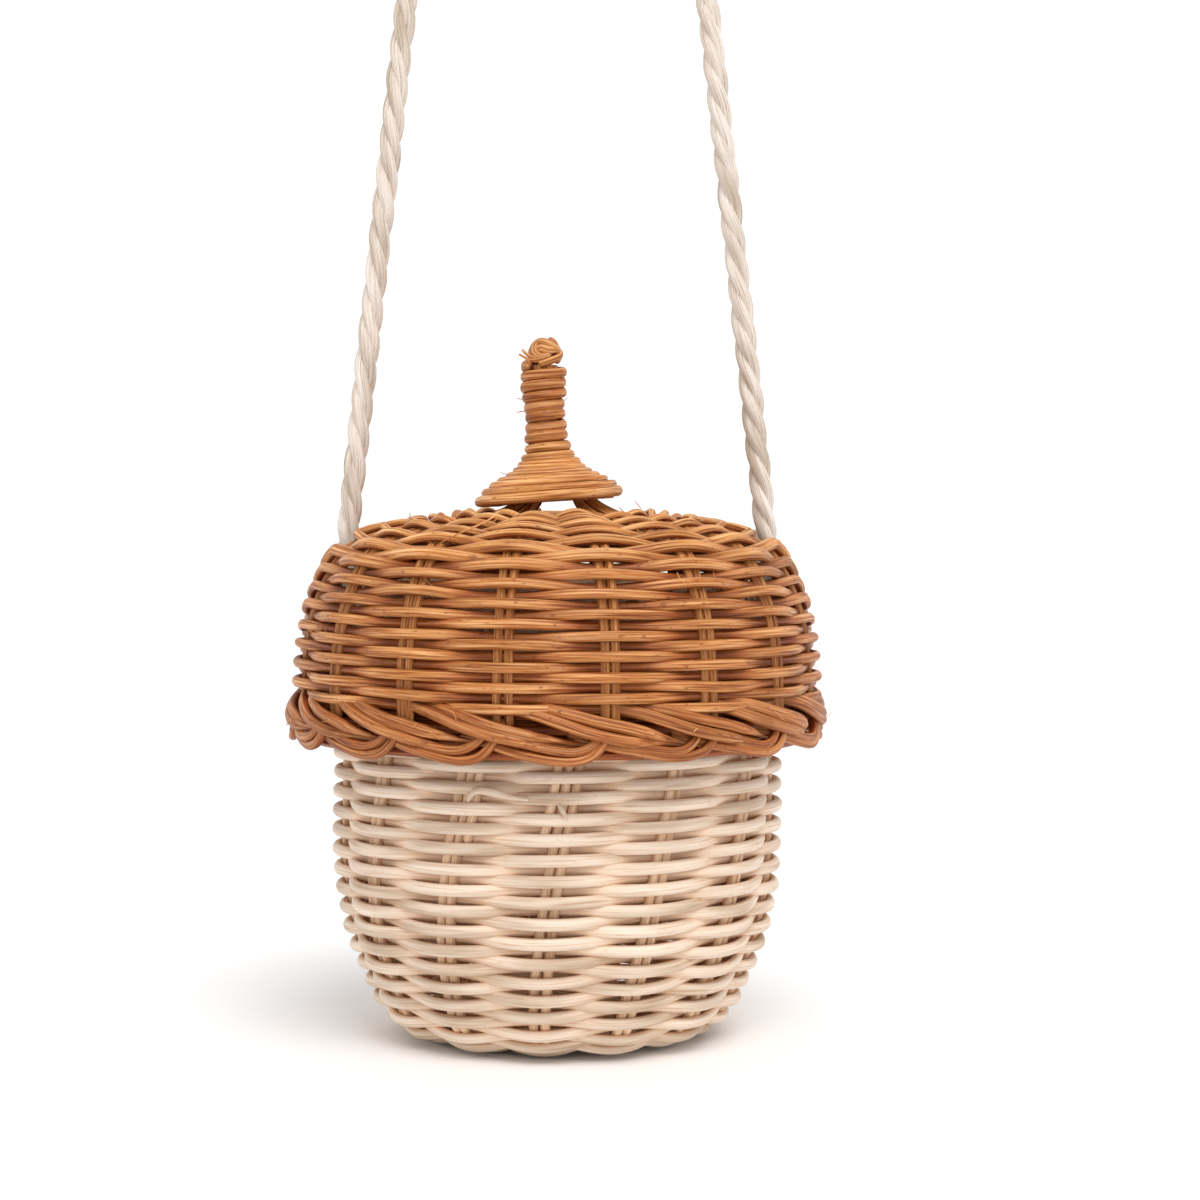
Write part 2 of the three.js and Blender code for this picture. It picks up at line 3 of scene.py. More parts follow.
import bpy
import numpy as np
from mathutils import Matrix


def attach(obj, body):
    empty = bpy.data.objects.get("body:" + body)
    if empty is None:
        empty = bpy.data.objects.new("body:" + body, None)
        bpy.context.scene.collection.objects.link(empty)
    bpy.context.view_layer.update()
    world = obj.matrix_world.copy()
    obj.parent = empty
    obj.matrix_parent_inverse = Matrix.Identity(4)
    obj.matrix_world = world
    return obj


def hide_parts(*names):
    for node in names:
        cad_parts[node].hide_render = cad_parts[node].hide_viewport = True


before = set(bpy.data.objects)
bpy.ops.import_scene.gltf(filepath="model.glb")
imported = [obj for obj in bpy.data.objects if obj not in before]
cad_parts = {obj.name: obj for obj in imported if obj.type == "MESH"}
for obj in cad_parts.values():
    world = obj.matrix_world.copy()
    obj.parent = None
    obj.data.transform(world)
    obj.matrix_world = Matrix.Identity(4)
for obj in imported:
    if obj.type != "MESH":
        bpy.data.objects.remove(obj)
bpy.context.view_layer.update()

MM = 0.001
TURN = 2 * math.pi

# Camera: level with the lid's shoulders, in front of the basket
CAMERA_DISTANCE = 0.83
CAMERA_HEIGHT = 0.1651
FOCAL_PIXELS = 2669
FRAME_PIXELS = 1200
AXIS_PIXEL = 557
HORIZON_PIXEL = 500
SENSOR_WIDTH = 36

scene = bpy.context.scene
camera_data = bpy.data.cameras.new("camera")
camera = bpy.data.objects.new("camera", camera_data)
scene.collection.objects.link(camera)
camera.location = (0, -CAMERA_DISTANCE, CAMERA_HEIGHT)
camera.rotation_euler = (math.radians(90), 0, 0)
camera_data.sensor_width = SENSOR_WIDTH
camera_data.lens = SENSOR_WIDTH * FOCAL_PIXELS / FRAME_PIXELS
camera_data.shift_x = (FRAME_PIXELS / 2 - AXIS_PIXEL) / FRAME_PIXELS
camera_data.shift_y = -(FRAME_PIXELS / 2 - HORIZON_PIXEL) / FRAME_PIXELS
camera_data.dof.use_dof = False
scene.camera = camera


# Where the seeds of the random draws begin for each kind of strand, and how far apart they are
# from one stake or layer to the next where it has several
BOWL_CANE_SEED = 10
BOWL_ROD_SEED = 20
LID_CANE_SEED = 40
LID_ROD_SEED = 50
HUB_SEED = 70
ROPE_SEED = 90
THIRD_ROD_SEED = 120
RIM_SEED = 200
SWEEP_SEED = 400
HOOK_SEED = 600
WINDING_SEED = 7
SEED_STEP = 10

# Curves and tubes, in millimetres until a piece is made of them

SPAN_STEPS = 24
# How far apart on the grain the strands begin
GRAIN_STEP = 1000
# A strand's inner side, which gets painted shade, begins where its surface faces outwards by less
# than this cosine.
INNER_SHADE_START = 0.35
LOOSE_STEPS = 30
LOOSE_GRAIN = 11.0
# Fine fibres: how long they are, how far they rise and curl, and where they spring from
FIBRE_STEPS = 7
FIBRE_SIDES = 4
FIBRE_THICK = 0.13
FIBRE_REACH = (1.5, 4.0)
FIBRE_RISE = (0.15, 0.45)
FIBRE_CURL = 0.9
FIBRE_ROOT = 0.9
FIBRE_ROOT_SIDE = 0.5
FIBRE_MARGIN = 4
FIBRE_GRAIN = 50.0


def smooth_line(points, count):
    """count points, evenly spaced, on a smooth line through a few points."""
    p = np.array(points, dtype=float)
    p = np.vstack([2 * p[0] - p[1], p, 2 * p[-1] - p[-2]])
    t = np.linspace(0, 1, SPAN_STEPS, endpoint=False)[:, None]
    dense = []
    for a, b, c, d in zip(p, p[1:], p[2:], p[3:]):
        dense.append(
            0.5 * (2 * b + (c - a) * t + (2 * a - 5 * b + 4 * c - d) * t**2
                   + (3 * b - a - 3 * c + d) * t**3)
        )
    dense.append(p[-2:-1])
    return resample(np.vstack(dense), count)


def resample(line, count):
    """count points, evenly spaced, on a line."""
    length = lengths(line)
    at = np.linspace(0, length[-1], count)
    return np.column_stack([np.interp(at, length, axis) for axis in line.T])


def lengths(line):
    """How far along a line each of its points is."""
    steps = np.linalg.norm(np.diff(line, axis=0), axis=1)
    return np.concatenate([[0], np.cumsum(steps)])


def wander(rng, length, reach, size):
    """Smooth random values, one for each given length, that change over a reach. Pairs such as
    CANE_SWAY are its reach and size."""
    knots = int(length[-1] / reach) + 4
    values = rng.normal(0, size, knots)
    at = (length - length[0]) / reach + 1
    i = at.astype(int)
    t = at - i
    t = t * t * (3 - 2 * t)
    return values[i] * (1 - t) + values[np.minimum(i + 1, knots - 1)] * t


def unit(v):
    """The same directions with a length of one."""
    return v / np.maximum(np.linalg.norm(v, axis=1, keepdims=True), 1e-9)


def spread(value, count):
    """A value for each of count points, from one value or from count of them."""
    return np.broadcast_to(np.asarray(value, dtype=float), (count,)).copy()


def ring_faces(rings, sides, looped=False):
    """Faces between rings of points, with one across each end unless the rings are looped."""
    ring = np.arange(sides)
    after = np.roll(ring, -1)
    faces = []
    for i in range(rings if looped else rings - 1):
        a = i * sides
        b = (i + 1) % rings * sides
        faces += np.column_stack([a + ring, a + after, b + after, b + ring]).tolist()
    if not looped:
        faces.append(ring[::-1].tolist())
        faces.append(((rings - 1) * sides + ring).tolist())
    return faces


class Piece:
    """A mesh made of tubes. Each vertex knows its place on its strand: how far along, and
    where around."""

    def __init__(self, name):
        self.name = name
        self.points = []
        self.faces = []
        self.places = []
        self.shade_amounts = []
        self.count = 0

    def add(self, points, faces, places, shade_amounts=0.0):
        """More points and faces, with each point's place on its strand and its share of painted
        shade.
        """
        self.points.append(points)
        self.places.append(places)
        self.shade_amounts.append(np.broadcast_to(shade_amounts, len(points)))
        self.faces += [tuple(i + self.count for i in face) for face in faces]
        self.count += len(points)

    def tube(self, line, outward, high, deep=None, sides=8, turn=0.0, begin=0.0, looped=False,
             ends=0.75, shade_amount=0.0, inner=0.0):
        """A tube along a line. high and deep are its half height and half depth, and ends is
        the share of them that is left at its ends. outward is near the direction of its depth
        at each point, begin is where its grain begins, and turn is how far that turns per
        millimetre. The last two give its painted shade: how much where it dips out of sight,
        and how much more on its inner side."""
        line = np.asarray(line, dtype=float)
        count = len(line)
        if looped:
            tangent = unit(np.roll(line, -1, axis=0) - np.roll(line, 1, axis=0))
        else:
            tangent = unit(np.gradient(line, axis=0))
        normal = outward - (outward * tangent).sum(axis=1, keepdims=True) * tangent
        normal = unit(normal)
        side = np.cross(tangent, normal)
        high = spread(high, count)
        deep = high.copy() if deep is None else spread(deep, count)
        if not looped:
            for taper in (high, deep):
                taper[0] *= ends
                taper[-1] *= ends
        angle = np.arange(sides) * TURN / sides
        cos, sin = np.cos(angle), np.sin(angle)
        points = (
            line[:, None, :]
            + normal[:, None, :] * (deep[:, None] * cos)[:, :, None]
            + side[:, None, :] * (high[:, None] * sin)[:, :, None]
        )
        along = lengths(line)
        grain = angle[None, :] + turn * along[:, None]
        size = ((high + deep) / 2)[:, None]
        places = np.stack(
            [
                np.broadcast_to(along[:, None] + begin, grain.shape),
                np.cos(grain) * size,
                np.sin(grain) * size,
            ],
            axis=2,
        )
        # Painted shade for each point: darker where the strand dips out of sight and on its inner
        # side, away from the light
        shade_amounts = np.broadcast_to(shade_amount, count)[:, None]
        shade_amounts = np.clip(shade_amounts + inner * np.clip(INNER_SHADE_START - cos, 0, 1), 0, 1).ravel()
        faces = ring_faces(count, sides, looped)
        self.add(points.reshape(-1, 3), faces, places.reshape(-1, 3), shade_amounts)

    def loose(self, points, thick, flat=1.0):
        """A loose end or fibre through a few points. thick is its half width at its start, its
        middle and its end, and flat is its depth's share of its width."""
        line = smooth_line(points, LOOSE_STEPS)
        outward = unit(line * [1, 1, 0])
        high = np.interp(np.linspace(0, 2, LOOSE_STEPS), (0, 1, 2), thick)
        self.tube(line, outward, high, high * flat, begin=LOOSE_GRAIN)

    def fray(self, line, outward, off, count, rng):
        """Fine fibres that stand off a strand. off is from the strand's line to its surface."""
        start, gain = FIBRE_RISE
        t = np.linspace(0, 1, FIBRE_STEPS)[:, None]
        for at in rng.integers(FIBRE_MARGIN, len(line) - FIBRE_MARGIN, count):
            way = line[at + 1] - line[at]
            way = way / np.linalg.norm(way) * rng.choice((-1, 1))
            out = outward[at]
            side = np.cross(way, out)
            reach = rng.uniform(*FIBRE_REACH)
            curl = rng.uniform(-FIBRE_CURL, FIBRE_CURL)
            root = line[at] + out * off * FIBRE_ROOT
            root = root + side * rng.uniform(-FIBRE_ROOT_SIDE, FIBRE_ROOT_SIDE)
            bow = out * (start + gain * t) * t + side * curl * t**2
            fibre = root + reach * (way * t + bow)
            outs = np.repeat(out[None], FIBRE_STEPS, axis=0)
            self.tube(fibre, outs, FIBRE_THICK, sides=FIBRE_SIDES, begin=FIBRE_GRAIN * at)

    def revolve(self, profile, sides):
        """A closed surface of revolution about Z, from an outline of radius and height that
        begins and ends on the axis."""
        angle = np.arange(sides) * TURN / sides
        inner = np.array(profile[1:-1], dtype=float)
        points = np.stack(
            [
                inner[:, :1] * np.cos(angle),
                inner[:, :1] * np.sin(angle),
                np.broadcast_to(inner[:, 1:], (len(inner), sides)),
            ],
            axis=2,
        ).reshape(-1, 3)
        self.add(points, ring_faces(len(inner), sides), points[:, [2, 0, 1]])

    def make(self, material, body, nodes, move=None):
        """The piece in the scene, on a body and in the place of nodes of the solid model. move
        changes where its points are."""
        points = np.vstack(self.points)
        if move is not None:
            points = move(points)
        mesh = bpy.data.meshes.new(self.name)
        mesh.from_pydata((points * MM).tolist(), [], self.faces)
        mesh.polygons.foreach_set("use_smooth", [True] * len(mesh.polygons))
        strand = mesh.attributes.new("strand", "FLOAT_VECTOR", "POINT")
        strand.data.foreach_set("vector", np.vstack(self.places).ravel())
        # Each point's share of painted shade, for the materials
        painted_shade = mesh.attributes.new("painted_shade", "FLOAT", "POINT")
        painted_shade.data.foreach_set("value", np.concatenate(self.shade_amounts))
        mesh.materials.append(material)
        mesh.update()
        piece = bpy.data.objects.new(self.name, mesh)
        scene.collection.objects.link(piece)
        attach(piece, body)
        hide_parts(*nodes)
        return piece


# Materials: noise scales are per millimetre along a strand and across it

FIBRE_ALONG = 0.05
FIBRE_STOPS = (0.32, 0.47, 0.66)
TONE_SCALE = (0.03, 0.25, 0.25)
TONES = [(0.3, (0.72, 0.67, 0.6)), (0.5, (1, 1, 1)), (0.7, (1.1, 1.12, 1.15))]
SPECK_SCALE = (0.35, 0.9, 0.9)
SPECK_STOPS = (0.66, 0.74)
# How much rougher a strand is in its dark fibres and in its light ones
ROUGHER = [(0.3, 0.12), (0.7, -0.06)]
RELIEF = 0.0003
GLOSS = 0.35
# The mix node's sockets for colours
MIX_INPUTS = (0, 6, 7)
MIX_OUTPUT = 2


def node(tree, kind, **values):
    """A shader node with its settings and the values of its inputs."""
    made = tree.nodes.new(kind)
    for key, value in values.items():
        if hasattr(made, key):
            setattr(made, key, value)
        else:
            made.inputs[key].default_value = value
    return made


def strand_noise(tree, scale, detail, rough=0.5):
    """Noise over a strand's own coordinates."""
    place = node(tree, "ShaderNodeAttribute", attribute_name="strand")
    mapping = node(tree, "ShaderNodeMapping")
    mapping.inputs["Scale"].default_value = scale
    tree.links.new(place.outputs["Vector"], mapping.inputs["Vector"])
    made = node(tree, "ShaderNodeTexNoise", Scale=1.0, Detail=detail, Roughness=rough)
    tree.links.new(mapping.outputs["Vector"], made.inputs["Vector"])
    return made.outputs["Fac"]


def ramp(tree, fac, stops):
    """A colour ramp with stops of a position and a colour."""
    made = node(tree, "ShaderNodeValToRGB")
    elements = made.color_ramp.elements
    while len(elements) < len(stops):
        elements.new(0.5)
    for element, (position, colour) in zip(elements, stops):
        element.position = position
        element.color = (*colour, 1)
    tree.links.new(fac, made.inputs["Fac"])
    return made.outputs["Color"]


def mix(tree, kind, fac, a, b):
    """Two colours mixed, each a colour or a node's output."""
    made = node(tree, "ShaderNodeMix", data_type="RGBA", blend_type=kind)
    factor, first, second = (made.inputs[k] for k in MIX_INPUTS)
    for socket, value in ((factor, fac), (first, a), (second, b)):
        if isinstance(value, bpy.types.NodeSocket):
            tree.links.new(value, socket)
        else:
            socket.default_value = value
    return made.outputs[MIX_OUTPUT]


def srgb(r, g, b):
    """A colour in the renderer's own light values, from a screen colour of 0 to 255."""
    return tuple(
        v / 12.92 if v <= 0.04045 else ((v + 0.055) / 1.055) ** 2.4
        for v in (r / 255, g / 255, b / 255)
    )


def strand_material(name, colours, shade_colour, fibre, bump, roughness, speck=0.0, gloss=GLOSS):
    """Peeled cane or twisted cotton: long fibres in a dark, a middle and a light colour, tones
    that change along a strand, dark specks, and painted shade where a strand dips out of sight.
    fibre is how fine the fibres are across the strand."""
    made = bpy.data.materials.new(name)
    made.use_nodes = True
    tree = made.node_tree
    shader = tree.nodes["Principled BSDF"]
    fine = strand_noise(tree, (FIBRE_ALONG, fibre, fibre), detail=3, rough=0.6)
    tone = strand_noise(tree, TONE_SCALE, detail=2)
    colour = ramp(tree, fine, list(zip(FIBRE_STOPS, colours)))
    colour = mix(tree, "MULTIPLY", 1.0, colour, ramp(tree, tone, TONES))
    if speck:
        spots = strand_noise(tree, SPECK_SCALE, detail=1)
        mask = ramp(tree, spots, list(zip(SPECK_STOPS, ((0, 0, 0), (speck, speck, speck)))))
        colour = mix(tree, "MIX", mask, colour, (*colours[0], 1))
    # Painted shade: the colour is multiplied by a darker one by each point's share of shade
    painted_shade = node(tree, "ShaderNodeAttribute", attribute_name="painted_shade")
    shaded = mix(tree, "MULTIPLY", 1.0, colour, (*shade_colour, 1))
    colour = mix(tree, "MIX", painted_shade.outputs["Fac"], colour, shaded)
    tree.links.new(colour, shader.inputs["Base Color"])
    rough = ramp(tree, fine, [(at, (roughness + more,) * 3) for at, more in ROUGHER])
    tree.links.new(rough, shader.inputs["Roughness"])
    relief = node(tree, "ShaderNodeBump", Strength=bump, Distance=RELIEF)
    tree.links.new(fine, relief.inputs["Height"])
    tree.links.new(relief.outputs["Normal"], shader.inputs["Normal"])
    shader.inputs["Specular IOR Level"].default_value = gloss
    return made


# The darker colours of painted shade, where strands dip out of sight or face inwards; the rope has
# none
BROWN_SHADE = (0.42, 0.19, 0.07)
PALE_SHADE = (1.03, 0.8, 0.6)
NO_SHADE = (1, 1, 1)

BROWN_CANE = strand_material(
    "brown_cane", (srgb(135, 66, 20), srgb(205, 134, 66), srgb(252, 200, 138)), BROWN_SHADE,
    fibre=1.9, bump=0.45, roughness=0.42, speck=0.6,
)
BROWN_ROD = strand_material(
    "brown_rod", (srgb(114, 52, 14), srgb(178, 108, 50), srgb(218, 154, 90)), BROWN_SHADE,
    fibre=2.3, bump=0.5, roughness=0.5, speck=0.6,
)
PALE_CANE = strand_material(
    "pale_cane", (srgb(206, 173, 143), srgb(226, 204, 182), srgb(234, 214, 194)), PALE_SHADE,
    fibre=1.9, bump=0.3, roughness=0.48, speck=0.35,
)
PALE_ROD = strand_material(
    "pale_rod", (srgb(204, 160, 122), srgb(230, 196, 160), srgb(240, 212, 182)), PALE_SHADE,
    fibre=2.3, bump=0.35, roughness=0.55, speck=0.4,
)
COTTON = strand_material(
    "cotton_rope", (srgb(170, 148, 128), srgb(221, 206, 192), srgb(240, 229, 220)), NO_SHADE,
    fibre=4.2, bump=0.9, roughness=0.85, gloss=0.2,
)


# Strap: the same route as its CAD solid. Places on it are how far to the side and how high it
# runs, and STRAP_SIDE is how far behind the basket's middle.

ROPE_DIAMETER = 7.0
ROPE_STRANDS = 3
ROPE_LAY = 30.0
ROPE_STEPS = 761
STRAND_SHARE = 0.58
STRAND_APART = 0.1
STRAND_SIDES = 12
STRAND_SWAY = (30, 0.12)
STRAND_SWELL = (7, 0.03)
STRAND_GRAIN = 900
STRAND_GRAIN_TURN = -0.22
STRAP_SIDE = 0.8
STRAP_ROUTE = [
    (46.4, 120.9), (50.6, 121.1), (55.4, 122.8), (59.7, 126.3), (62.1, 131.3), (63.0, 136.6),
    (63.8, 142.0), (64.6, 147.5), (64.9, 152.0), (64.8, 157.0), (64.1, 164.0), (61.9, 184.0),
    (59.1, 210.0), (55.8, 240.0), (52.2, 272.0), (48.7, 304.0), (46.0, 328.0), (43.5, 345.0),
    (38.0, 359.5), (28.5, 370.5), (15.0, 377.6), (0.0, 380.0),
]
strap_points = [(x, STRAP_SIDE, z) for x, z in STRAP_ROUTE]
strap_points += [(-x, STRAP_SIDE, z) for x, z in reversed(STRAP_ROUTE[:-1])]
STRAP_LINE = smooth_line(strap_points, ROPE_STEPS)

strand = ROPE_DIAMETER * STRAND_SHARE
reach = (ROPE_DIAMETER - strand) / 2 + STRAND_APART
tangent = unit(np.gradient(STRAP_LINE, axis=0))
across = unit(np.cross(tangent, np.array([0.0, 1.0, 0.0])))
behind = np.cross(across, tangent)
along = lengths(STRAP_LINE)
strap_piece = Piece("rope_strap")
for i in range(ROPE_STRANDS):
    rng = np.random.default_rng(ROPE_SEED + i)
    angle = along * TURN / ROPE_LAY + i * TURN / ROPE_STRANDS + wander(rng, along, *STRAND_SWAY)
    out = across * np.cos(angle)[:, None] + behind * np.sin(angle)[:, None]
    size = strand / 2 * (1 + wander(rng, along, *STRAND_SWELL))
    strap_piece.tube(
        STRAP_LINE + out * reach, out, size, sides=STRAND_SIDES, turn=STRAND_GRAIN_TURN,
        begin=STRAND_GRAIN * i,
    )
strap = strap_piece.make(COTTON, "bowl", ["strap"])


# Strap knots: trefoils at the rope's ends inside the bowl. A knot stands ROPE_KNOT_PLACE from
# the basket's middle, and its surface faces away from ROPE_KNOT_HEART.
ROPE_KNOT_PLACE = 39.9
ROPE_KNOT_HEART = 40.0
ROPE_KNOT_RADIUS = 3.1
ROPE_KNOT_SWING = 1.35
ROPE_KNOT_HALF_LENGTH = 2.55
ROPE_KNOT_THICK = 2.2
ROPE_KNOT_STEPS = 150
ROPE_KNOT_GRAIN_TURN = 0.5

for name, sign in (("right", 1), ("left", -1)):
    piece = Piece(f"rope_knot_{name}")
    t = np.linspace(0, TURN, ROPE_KNOT_STEPS, endpoint=False)
    bend = ROPE_KNOT_RADIUS + ROPE_KNOT_SWING * np.cos(3 * t)
    line = np.column_stack(
        [ROPE_KNOT_HALF_LENGTH * np.sin(3 * t), bend * np.cos(2 * t), bend * np.sin(2 * t)]
    )
    line += [sign * ROPE_KNOT_PLACE, STRAP_SIDE, STRAP_ROUTE[0][1]]
    heart = [sign * ROPE_KNOT_HEART, STRAP_SIDE, STRAP_ROUTE[0][1]]
    piece.tube(
        line, unit(line - heart), ROPE_KNOT_THICK, sides=STRAND_SIDES, turn=ROPE_KNOT_GRAIN_TURN,
        looped=True,
    )
    piece.make(COTTON, "bowl", [f"strap_knot_{name}"])


# Woven walls

WALL_STEPS = 400
CANE_STEPS = 10
CANE_SIDES = 12
STRAY_REACH = 23
CANE_SWAY = (31, 0.12)
CANE_SWELL = (40, 0.03)
# A cane gets painted shade where its wave is lower than this, as it goes out of sight.
SHADE_START = 0.45
STAKE_STEPS = 90
STAKE_SWAY = (30, 0.18)
STAKE_BULGE = (25, 0.1)
ROD_GRAIN = 300
# The most of a stake interval that half a rod's width takes up
CROWDING = 0.13


class Wall:
    """A woven wall of revolution, given by its middle line in radius and height. side is 1 where
    the outside is to the right of the line's way. cane is the weaving cane's height and depth,
    wave is how far it swings out and in, and turns gives heights and how far the stakes have
    turned there."""

    def __init__(self, line, side, pairs, phase, outset, cane, wave, turns=((0, 0),)):
        tangent = unit(np.gradient(line, axis=0))
        normal = side * np.column_stack([tangent[:, 1], -tangent[:, 0]])
        line = line + normal * outset
        self.length = lengths(line)
        self.table = np.column_stack([line, normal])
        self.step = TURN / pairs
        self.phase = phase * self.step
        self.high, self.deep = cane
        self.swings = wave
        self.turns = np.transpose(turns)
        self.partings = []

    def at(self, length):
        """Radius, height, and the outward way in both, at a length along it."""
        return [np.interp(length, self.length, column) for column in self.table.T]

    def length_at(self, test):
        """The first length where a test of radius and height is true."""
        return self.length[np.argmax(test(self.table[:, 0], self.table[:, 1]))]

    def turned(self, height):
        """How far the stakes have turned at a height."""
        return np.interp(height, *self.turns)

    def part(self, angle, parting, back, on, reach, half, fade):
        """Rows part at an angle and a length: back and on say how far, reach how far along the
        wall they still make room, and half and fade how far around it."""
        self.partings.append((angle, parting, back, on, reach, half, fade))

    def give_way(self, angle, length):
        """How far rows move along the wall around the strap, and the share of their height that
        they keep."""
        move = np.zeros_like(length)
        keep = np.ones_like(length)
        for middle, parting, back, on, reach, half, fade in self.partings:
            away = np.abs((angle - middle + math.pi) % TURN - math.pi)
            weight = np.clip((fade - away) / (fade - half), 0, 1)
            weight = weight * weight * (3 - 2 * weight)
            before = length < parting
            most = np.where(before, -back, on) * weight
            near = np.clip(1 - np.abs(length - parting) / reach, 0, 1)
            move += most * near
            keep -= np.where(near > 0, np.abs(most) / reach, 0)
        return move, keep

    def weave(self, piece, first, last, length_of, wave_of, thin_of, seed, stray, frays,
              most_shade, least_shade=0.0):
        """One weaving cane between two crossings of the stakes. length_of, wave_of and thin_of
        give its place along the wall, its wave and the share of its thickness at a crossing.
        Its rows stray a little from their places, and some fibres stand off it. The last two give
        the most painted shade, where it dips behind a stake, and the least, which it has all
        along."""
        i = np.arange(first * CANE_STEPS, last * CANE_STEPS + 1) / CANE_STEPS
        length = length_of(i)
        radius, height, _, _ = self.at(length)
        angle = self.phase + i * self.step + self.turned(height)
        rng = np.random.default_rng(seed)
        run = i * self.step * np.mean(radius)
        move, keep = self.give_way(angle, length)
        length = length + move + wander(rng, run, STRAY_REACH, stray)
        r, z, nr, nz = self.at(length)
        wave = wave_of(i)
        out = np.interp(wave, (-1, 0, 1), self.swings) + wander(rng, run, *CANE_SWAY)
        swell = 1 + wander(rng, run, *CANE_SWELL)
        x = r + nr * out
        line = np.column_stack([x * np.cos(angle), x * np.sin(angle), z + nz * out])
        outward = np.column_stack([nr * np.cos(angle), nr * np.sin(angle), nz])
        swell = swell * thin_of(i)
        high = self.high / 2 * swell * keep
        deep = self.deep / 2 * swell
        # Painted shade, more where the cane passes behind a stake
        shade_amount = least_shade + (most_shade - least_shade) * np.clip(SHADE_START - wave, 0, 1)
        begin = GRAIN_STEP * seed
        piece.tube(line, outward, high, deep, CANE_SIDES, begin=begin, shade_amount=shade_amount, inner=1.0)
        piece.fray(line, outward, self.deep / 2, frays, rng)

    def stake(self, piece, index, rod, seed, begin=0.0, sides=(-1, 1)):
        """Rods side by side along the wall. rod is their width and depth, and sides says where
        each lies, in half widths from the middle."""
        wide, deep = rod
        length = np.linspace(begin, self.length[-1], STAKE_STEPS)
        r, z, nr, nz = self.at(length)
        angle = self.phase + index * self.step + self.turned(z)
        cos, sin = np.cos(angle), np.sin(angle)
        apart = np.minimum(wide / 2, CROWDING * self.step * r)
        rng = np.random.default_rng(seed)
        for side in sides:
            across = side * apart + wander(rng, length, *STAKE_SWAY)
            out = wander(rng, length, *STAKE_BULGE)
            x = r + nr * out
            line = np.column_stack([x * cos - across * sin, x * sin + across * cos, z + nz * out])
            outward = np.column_stack([nr * cos, nr * sin, nz])
            grain = GRAIN_STEP * seed + ROD_GRAIN * side
            # Painted shade on the rods' inner side
            piece.tube(line, outward, apart, deep / 2, begin=grain, inner=1.0)


# Bowl: its wall runs from the hub over a flat foot and a rounded heel to the rim.
# BOWL_OUTSET is how far its middle line is moved out.

BOWL_HEIGHT = 140.0
BELLY_RADIUS = 64.3
HUB_RADIUS = 13.5
FOOT_RADIUS = 39.5
BASE_HEIGHT = 5.0
HEEL_RADIUS = 14.5
HEEL_TURN = math.pi / 3
HEEL_STEPS = 9
RIM_RADIUS = 54.5
RIM_HALF_WIDTH = 3.8
RIM_HALF_HEIGHT = 5.5
RIM_SEAT = 0.3
BOWL_OUTSET = 0.9
BOWL_PAIRS = 13
BOWL_PHASE = 0.75
BOWL_CANE = (3.76, 3.1)
BOWL_ROD = (3.05, 2.8)
BOWL_WAVE = (-1.9, 0.4, 2.95)
BOWL_PITCH = 2.98
BOWL_STRAY = 0.12
BOWL_FRAYS = 9
# The most painted shade, where the cane dips behind a stake
BOWL_MOST_SHADE = 0.5
BASE_WEAVE_RADIUS = 16
BOWL_TOP_GAP = 1.6
# Where the wall's canes end, as a share of its rows
BOWL_SPLITS = (0.32, 0.66, 1)
BOWL_SIDE_STEPS = 120
# The share of its wave that the cane lacks on the foot
FOOT_CALM = 0.3
# The bowl's stakes turn as they rise: heights, and how far they have turned there.
BOWL_TURNS = [
    (12, -0.1), (19, -0.092), (30, -0.074), (45, -0.044), (55, -0.019), (65, 0.007), (77, 0.048),
    (90, 0.08),
]
# Radius and height of its side, as shares of the belly's and the bowl's
BOWL_SHARES = [
    (0.867, 0.152), (0.934, 0.226), (0.974, 0.309), (0.995, 0.388), (1, 0.486), (0.999, 0.571),
    (0.994, 0.657), (0.968, 0.75), (0.915, 0.843),
]
# Some stakes have a third rod beside them in their upper part, this many half widths away.
THIRD_RODS = {9: -3, 8: 3, 1: 3, 5: -3}
THIRD_HEIGHT = 66
# A cane's end beside a stake, and a splinter on the stake in front
SPLICE = [
    (-25.6, -63.4, 78.6), (-24.9, -64.4, 80.2), (-23.7, -65.6, 81.5), (-21.7, -67.0, 82.0),
    (-17.7, -68.4, 81.5), (-12.9, -69.1, 80.3), (-8.0, -69.2, 79.6),
]
SPLICE_THICK = (0.75, 1.3, 0.4)
SPLICE_FLAT = 0.8
SPLINTER = [(0.0, -69.0, 78.6), (1.1, -70.0, 77.2), (2.2, -70.6, 75.6), (3.2, -71.2, 73.8)]
SPLINTER_THICK = (0.3, 0.75, 0.1)
SPLINTER_FLAT = 0.3

turns = np.linspace(0, HEEL_TURN, HEEL_STEPS)
heel = np.column_stack(
    [FOOT_RADIUS + HEEL_RADIUS * np.sin(turns), BASE_HEIGHT + HEEL_RADIUS * (1 - np.cos(turns))]
)
bowl_side = smooth_line(
    [heel[-1]] + [(x * BELLY_RADIUS, z * BOWL_HEIGHT) for x, z in BOWL_SHARES]
    + [(RIM_RADIUS, BOWL_HEIGHT - 2 * RIM_HALF_HEIGHT - RIM_SEAT)],
    BOWL_SIDE_STEPS,
)
bowl_line = resample(
    np.vstack([[HUB_RADIUS - 1, BASE_HEIGHT], heel, bowl_side[1:]]), WALL_STEPS
)
bowl_wall = Wall(
    bowl_line, 1, BOWL_PAIRS, BOWL_PHASE, BOWL_OUTSET, BOWL_CANE, BOWL_WAVE, BOWL_TURNS
)

# Lid: its wall runs from the stem down over the crown and the shoulder to the border.
# LID_HEIGHT is how high the border's middle is.

